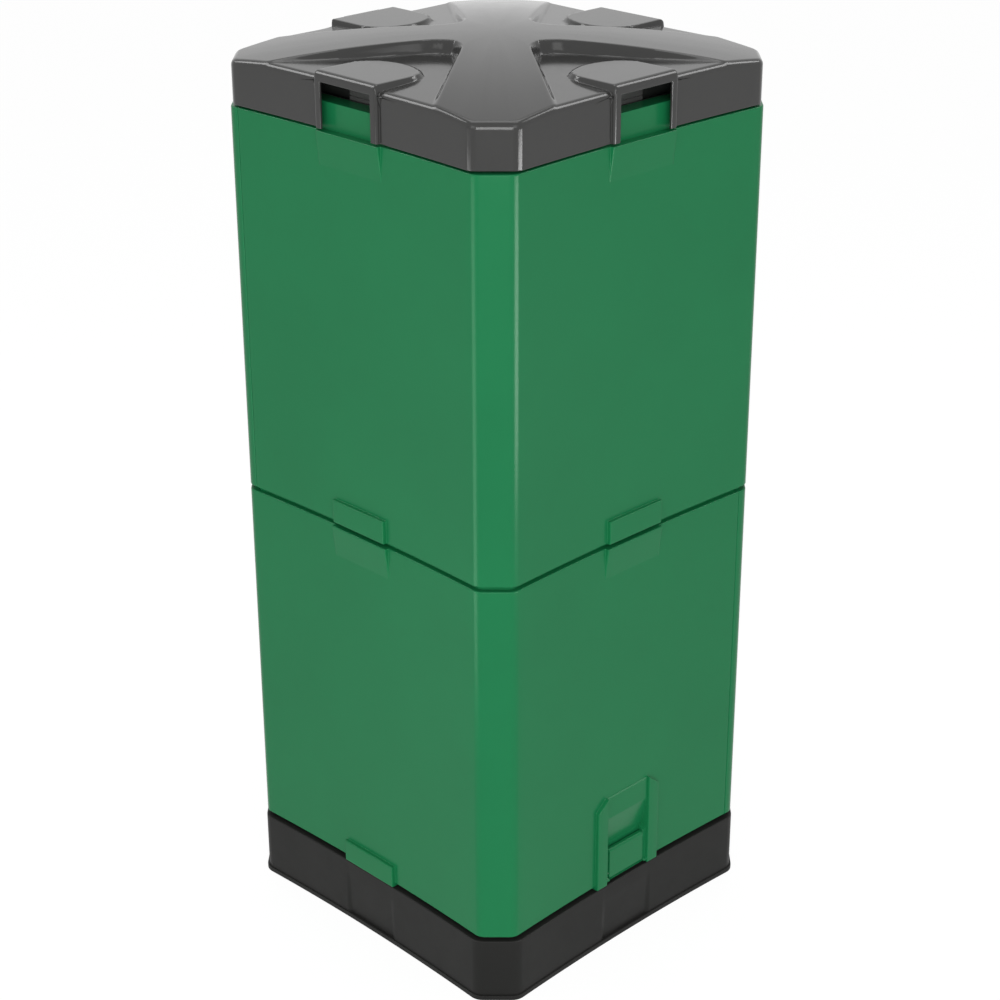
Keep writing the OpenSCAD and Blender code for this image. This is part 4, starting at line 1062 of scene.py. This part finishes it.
def repeated(name, form_mesh, places, mat):
    """A mesh with the form on every place; a place is a point in metres and a turn."""
    points = bpy.data.meshes.new("points")
    points.from_pydata([p for p, _ in places], [], [])
    turn = points.attributes.new("turn", "FLOAT_VECTOR", "POINT")
    turn.data.foreach_set("vector", [c for _, t in places for c in t])
    host, form = bpy.data.objects.new("host", points), bpy.data.objects.new("form", form_mesh)
    for obj in (host, form):
        bpy.context.scene.collection.objects.link(obj)
    mod = host.modifiers.new("repeat", "NODES")
    mod.node_group = REPEAT
    given = {"Form": form, "Finish": mat}
    for item in REPEAT.interface.items_tree:
        if item.in_out == "INPUT" and item.name in given:
            mod[item.identifier] = given[item.name]
    bpy.context.view_layer.update()
    mesh = bpy.data.meshes.new_from_object(host.evaluated_get(bpy.context.evaluated_depsgraph_get()))
    mesh.name = name
    mesh.materials.clear()
    bpy.data.objects.remove(host)
    bpy.data.objects.remove(form)
    return mesh


for node, body in (("seam_screws", "base"), ("tier_screws", "base"), ("base_screws", "base"),
                   ("lid_screws", "lid"), ("hinge_lid_screws", "lid"), ("hinge_wall_screws", "base")):
    found = [head_and_way(group) for group in loose_parts(node)]
    places = [(head, way.to_track_quat("Z", "Y").to_euler()) for head, way, _ in found]
    name, length = f"{node}_detailed", found[0][2] / MM
    piece(name, repeated(name, screw_form(length), places, steel), steel, body, [node], 30)

# Floor, in metres: white in the background, and plain inside the base's footprint

FLOOR_HALF, FOOTPRINT, FOOTPRINT_FLAT = 20.0, 0.2585, 0.2185
FLOOR_TONE, FLOOR_ROUGH = (0.90, 0.90, 0.90, 1), 0.9
GLOW, GLOW_SHARE = 1.09, 0.85


def background_rays(nodes, links):
    """One on rays that show the background: from the camera, a glossy or a clear surface."""
    path = nodes.new("ShaderNodeLightPath")
    shown = path.outputs["Is Camera Ray"]
    for kind in ("Is Glossy Ray", "Is Transmission Ray"):
        either = nodes.new("ShaderNodeMath")
        either.operation = "MAXIMUM"
        links.new(shown, either.inputs[0])
        links.new(path.outputs[kind], either.inputs[1])
        shown = either.outputs[0]
    return shown


def floor_finish(name):
    mat, nodes, links, shader = new_finish(name)
    shader.inputs["Base Color"].default_value = FLOOR_TONE
    shader.inputs["Roughness"].default_value = FLOOR_ROUGH
    return mat, nodes, links, shader


def white_floor():
    """A pale floor that background rays see nearly white, with the object's shadow on it."""
    mat, nodes, links, shader = floor_finish("floor")
    glow = nodes.new("ShaderNodeEmission")
    glow.inputs["Strength"].default_value = GLOW
    mix = nodes.new("ShaderNodeMixShader")
    share = nodes.new("ShaderNodeMath")
    share.operation = "MULTIPLY"
    share.inputs[1].default_value = GLOW_SHARE
    links.new(background_rays(nodes, links), share.inputs[0])
    links.new(share.outputs[0], mix.inputs["Fac"])
    links.new(shader.outputs[0], mix.inputs[1])
    links.new(glow.outputs[0], mix.inputs[2])
    links.new(mix.outputs[0], nodes["Material Output"].inputs["Surface"])
    return mat


def floor_sheet():
    """A wide square of floor round a small one with cut corners, which is its first face."""
    wide = [(x * FLOOR_HALF, y * FLOOR_HALF) for x, y in ((-1, -1), (1, -1), (1, 1), (-1, 1))]
    under = []
    for face in (FRONT, RIGHT, BACK, LEFT):
        under += [on_face(face, u, FOOTPRINT) for u in (-FOOTPRINT_FLAT, FOOTPRINT_FLAT)]
    first, n = len(wide), len(under)
    faces = [range(first, first + n)]
    for k in range(4):
        left, right, after = first + 2 * k, first + 2 * k + 1, first + (2 * k + 2) % n
        faces += [(k, (k + 1) % 4, right, left), ((k + 1) % 4, after, right)]
    mesh = bpy.data.meshes.new("floor")
    mesh.from_pydata([(x, y, 0) for x, y in wide + under], [], faces)
    mesh.materials.append(white_floor())
    mesh.materials.append(floor_finish("floor_under_base")[0])
    mesh.polygons[0].material_index = 1
    return mesh


floor = bpy.data.objects.new("floor", floor_sheet())
bpy.context.scene.collection.objects.link(floor)

# Light, in metres and watts

SKY_LIGHT = 0.40


def studio_world():
    """A soft even light that background rays see white."""
    world = bpy.data.worlds.new("studio")
    world.use_nodes = True
    nodes, links = world.node_tree.nodes, world.node_tree.links
    sky, white = nodes["Background"], nodes.new("ShaderNodeBackground")
    for light, strength in ((sky, SKY_LIGHT), (white, 1.0)):
        light.inputs["Color"].default_value = (1, 1, 1, 1)
        light.inputs["Strength"].default_value = strength
    mix = nodes.new("ShaderNodeMixShader")
    links.new(background_rays(nodes, links), mix.inputs["Fac"])
    links.new(sky.outputs[0], mix.inputs[1])
    links.new(white.outputs[0], mix.inputs[2])
    links.new(mix.outputs[0], nodes["World Output"].inputs["Surface"])
    return world


def soft_box(name, place, target, wide, high, power, only_shine=False):
    """A rectangular lamp at a place, turned to a target; only_shine leaves it to reflections."""
    data = bpy.data.lights.new(name, "AREA")
    data.shape = "RECTANGLE"
    data.size, data.size_y, data.energy = wide, high, power
    lamp = bpy.data.objects.new(name, data)
    bpy.context.scene.collection.objects.link(lamp)
    lamp.location = place
    lamp.rotation_euler = (Vector(target) - Vector(place)).to_track_quat("-Z", "Y").to_euler()
    lamp.visible_camera = False
    lamp.visible_diffuse = not only_shine


bpy.context.scene.world = studio_world()
soft_box("key", (-1.6, -3.4, 2.6), (0, 0, 0.6), 1.6, 2.4, 20)
soft_box("fill", (-3.6, -1.2, 2.2), (0, 0, 0.5), 1.6, 2.4, 17)
soft_box("front", (-3.0, -3.0, 1.35), (0, 0, 0.7), 1.2, 1.6, 44)
soft_box("top", (0.3, 0.3, 3.6), (0, 0, 1.0), 2.0, 2.0, 26)
soft_box("right strip", (0.16, -1.45, 0.56), (0.16, -0.25, 0.85), 0.74, 0.60, 17, only_shine=True)
soft_box("left strip", (-1.05, 0.03, 0.50), (-0.25, 0.03, 0.60), 0.48, 0.86, 5.5, only_shine=True)
soft_box("right edge light", (1.75, -1.05, 2.6), (0, -0.26, 0.9), 0.8, 1.0, 15, only_shine=True)
soft_box("left edge light", (-1.05, 1.75, 2.6), (-0.26, 0, 0.9), 0.8, 1.0, 15, only_shine=True)

bpy.context.scene.view_settings.view_transform = "Standard"
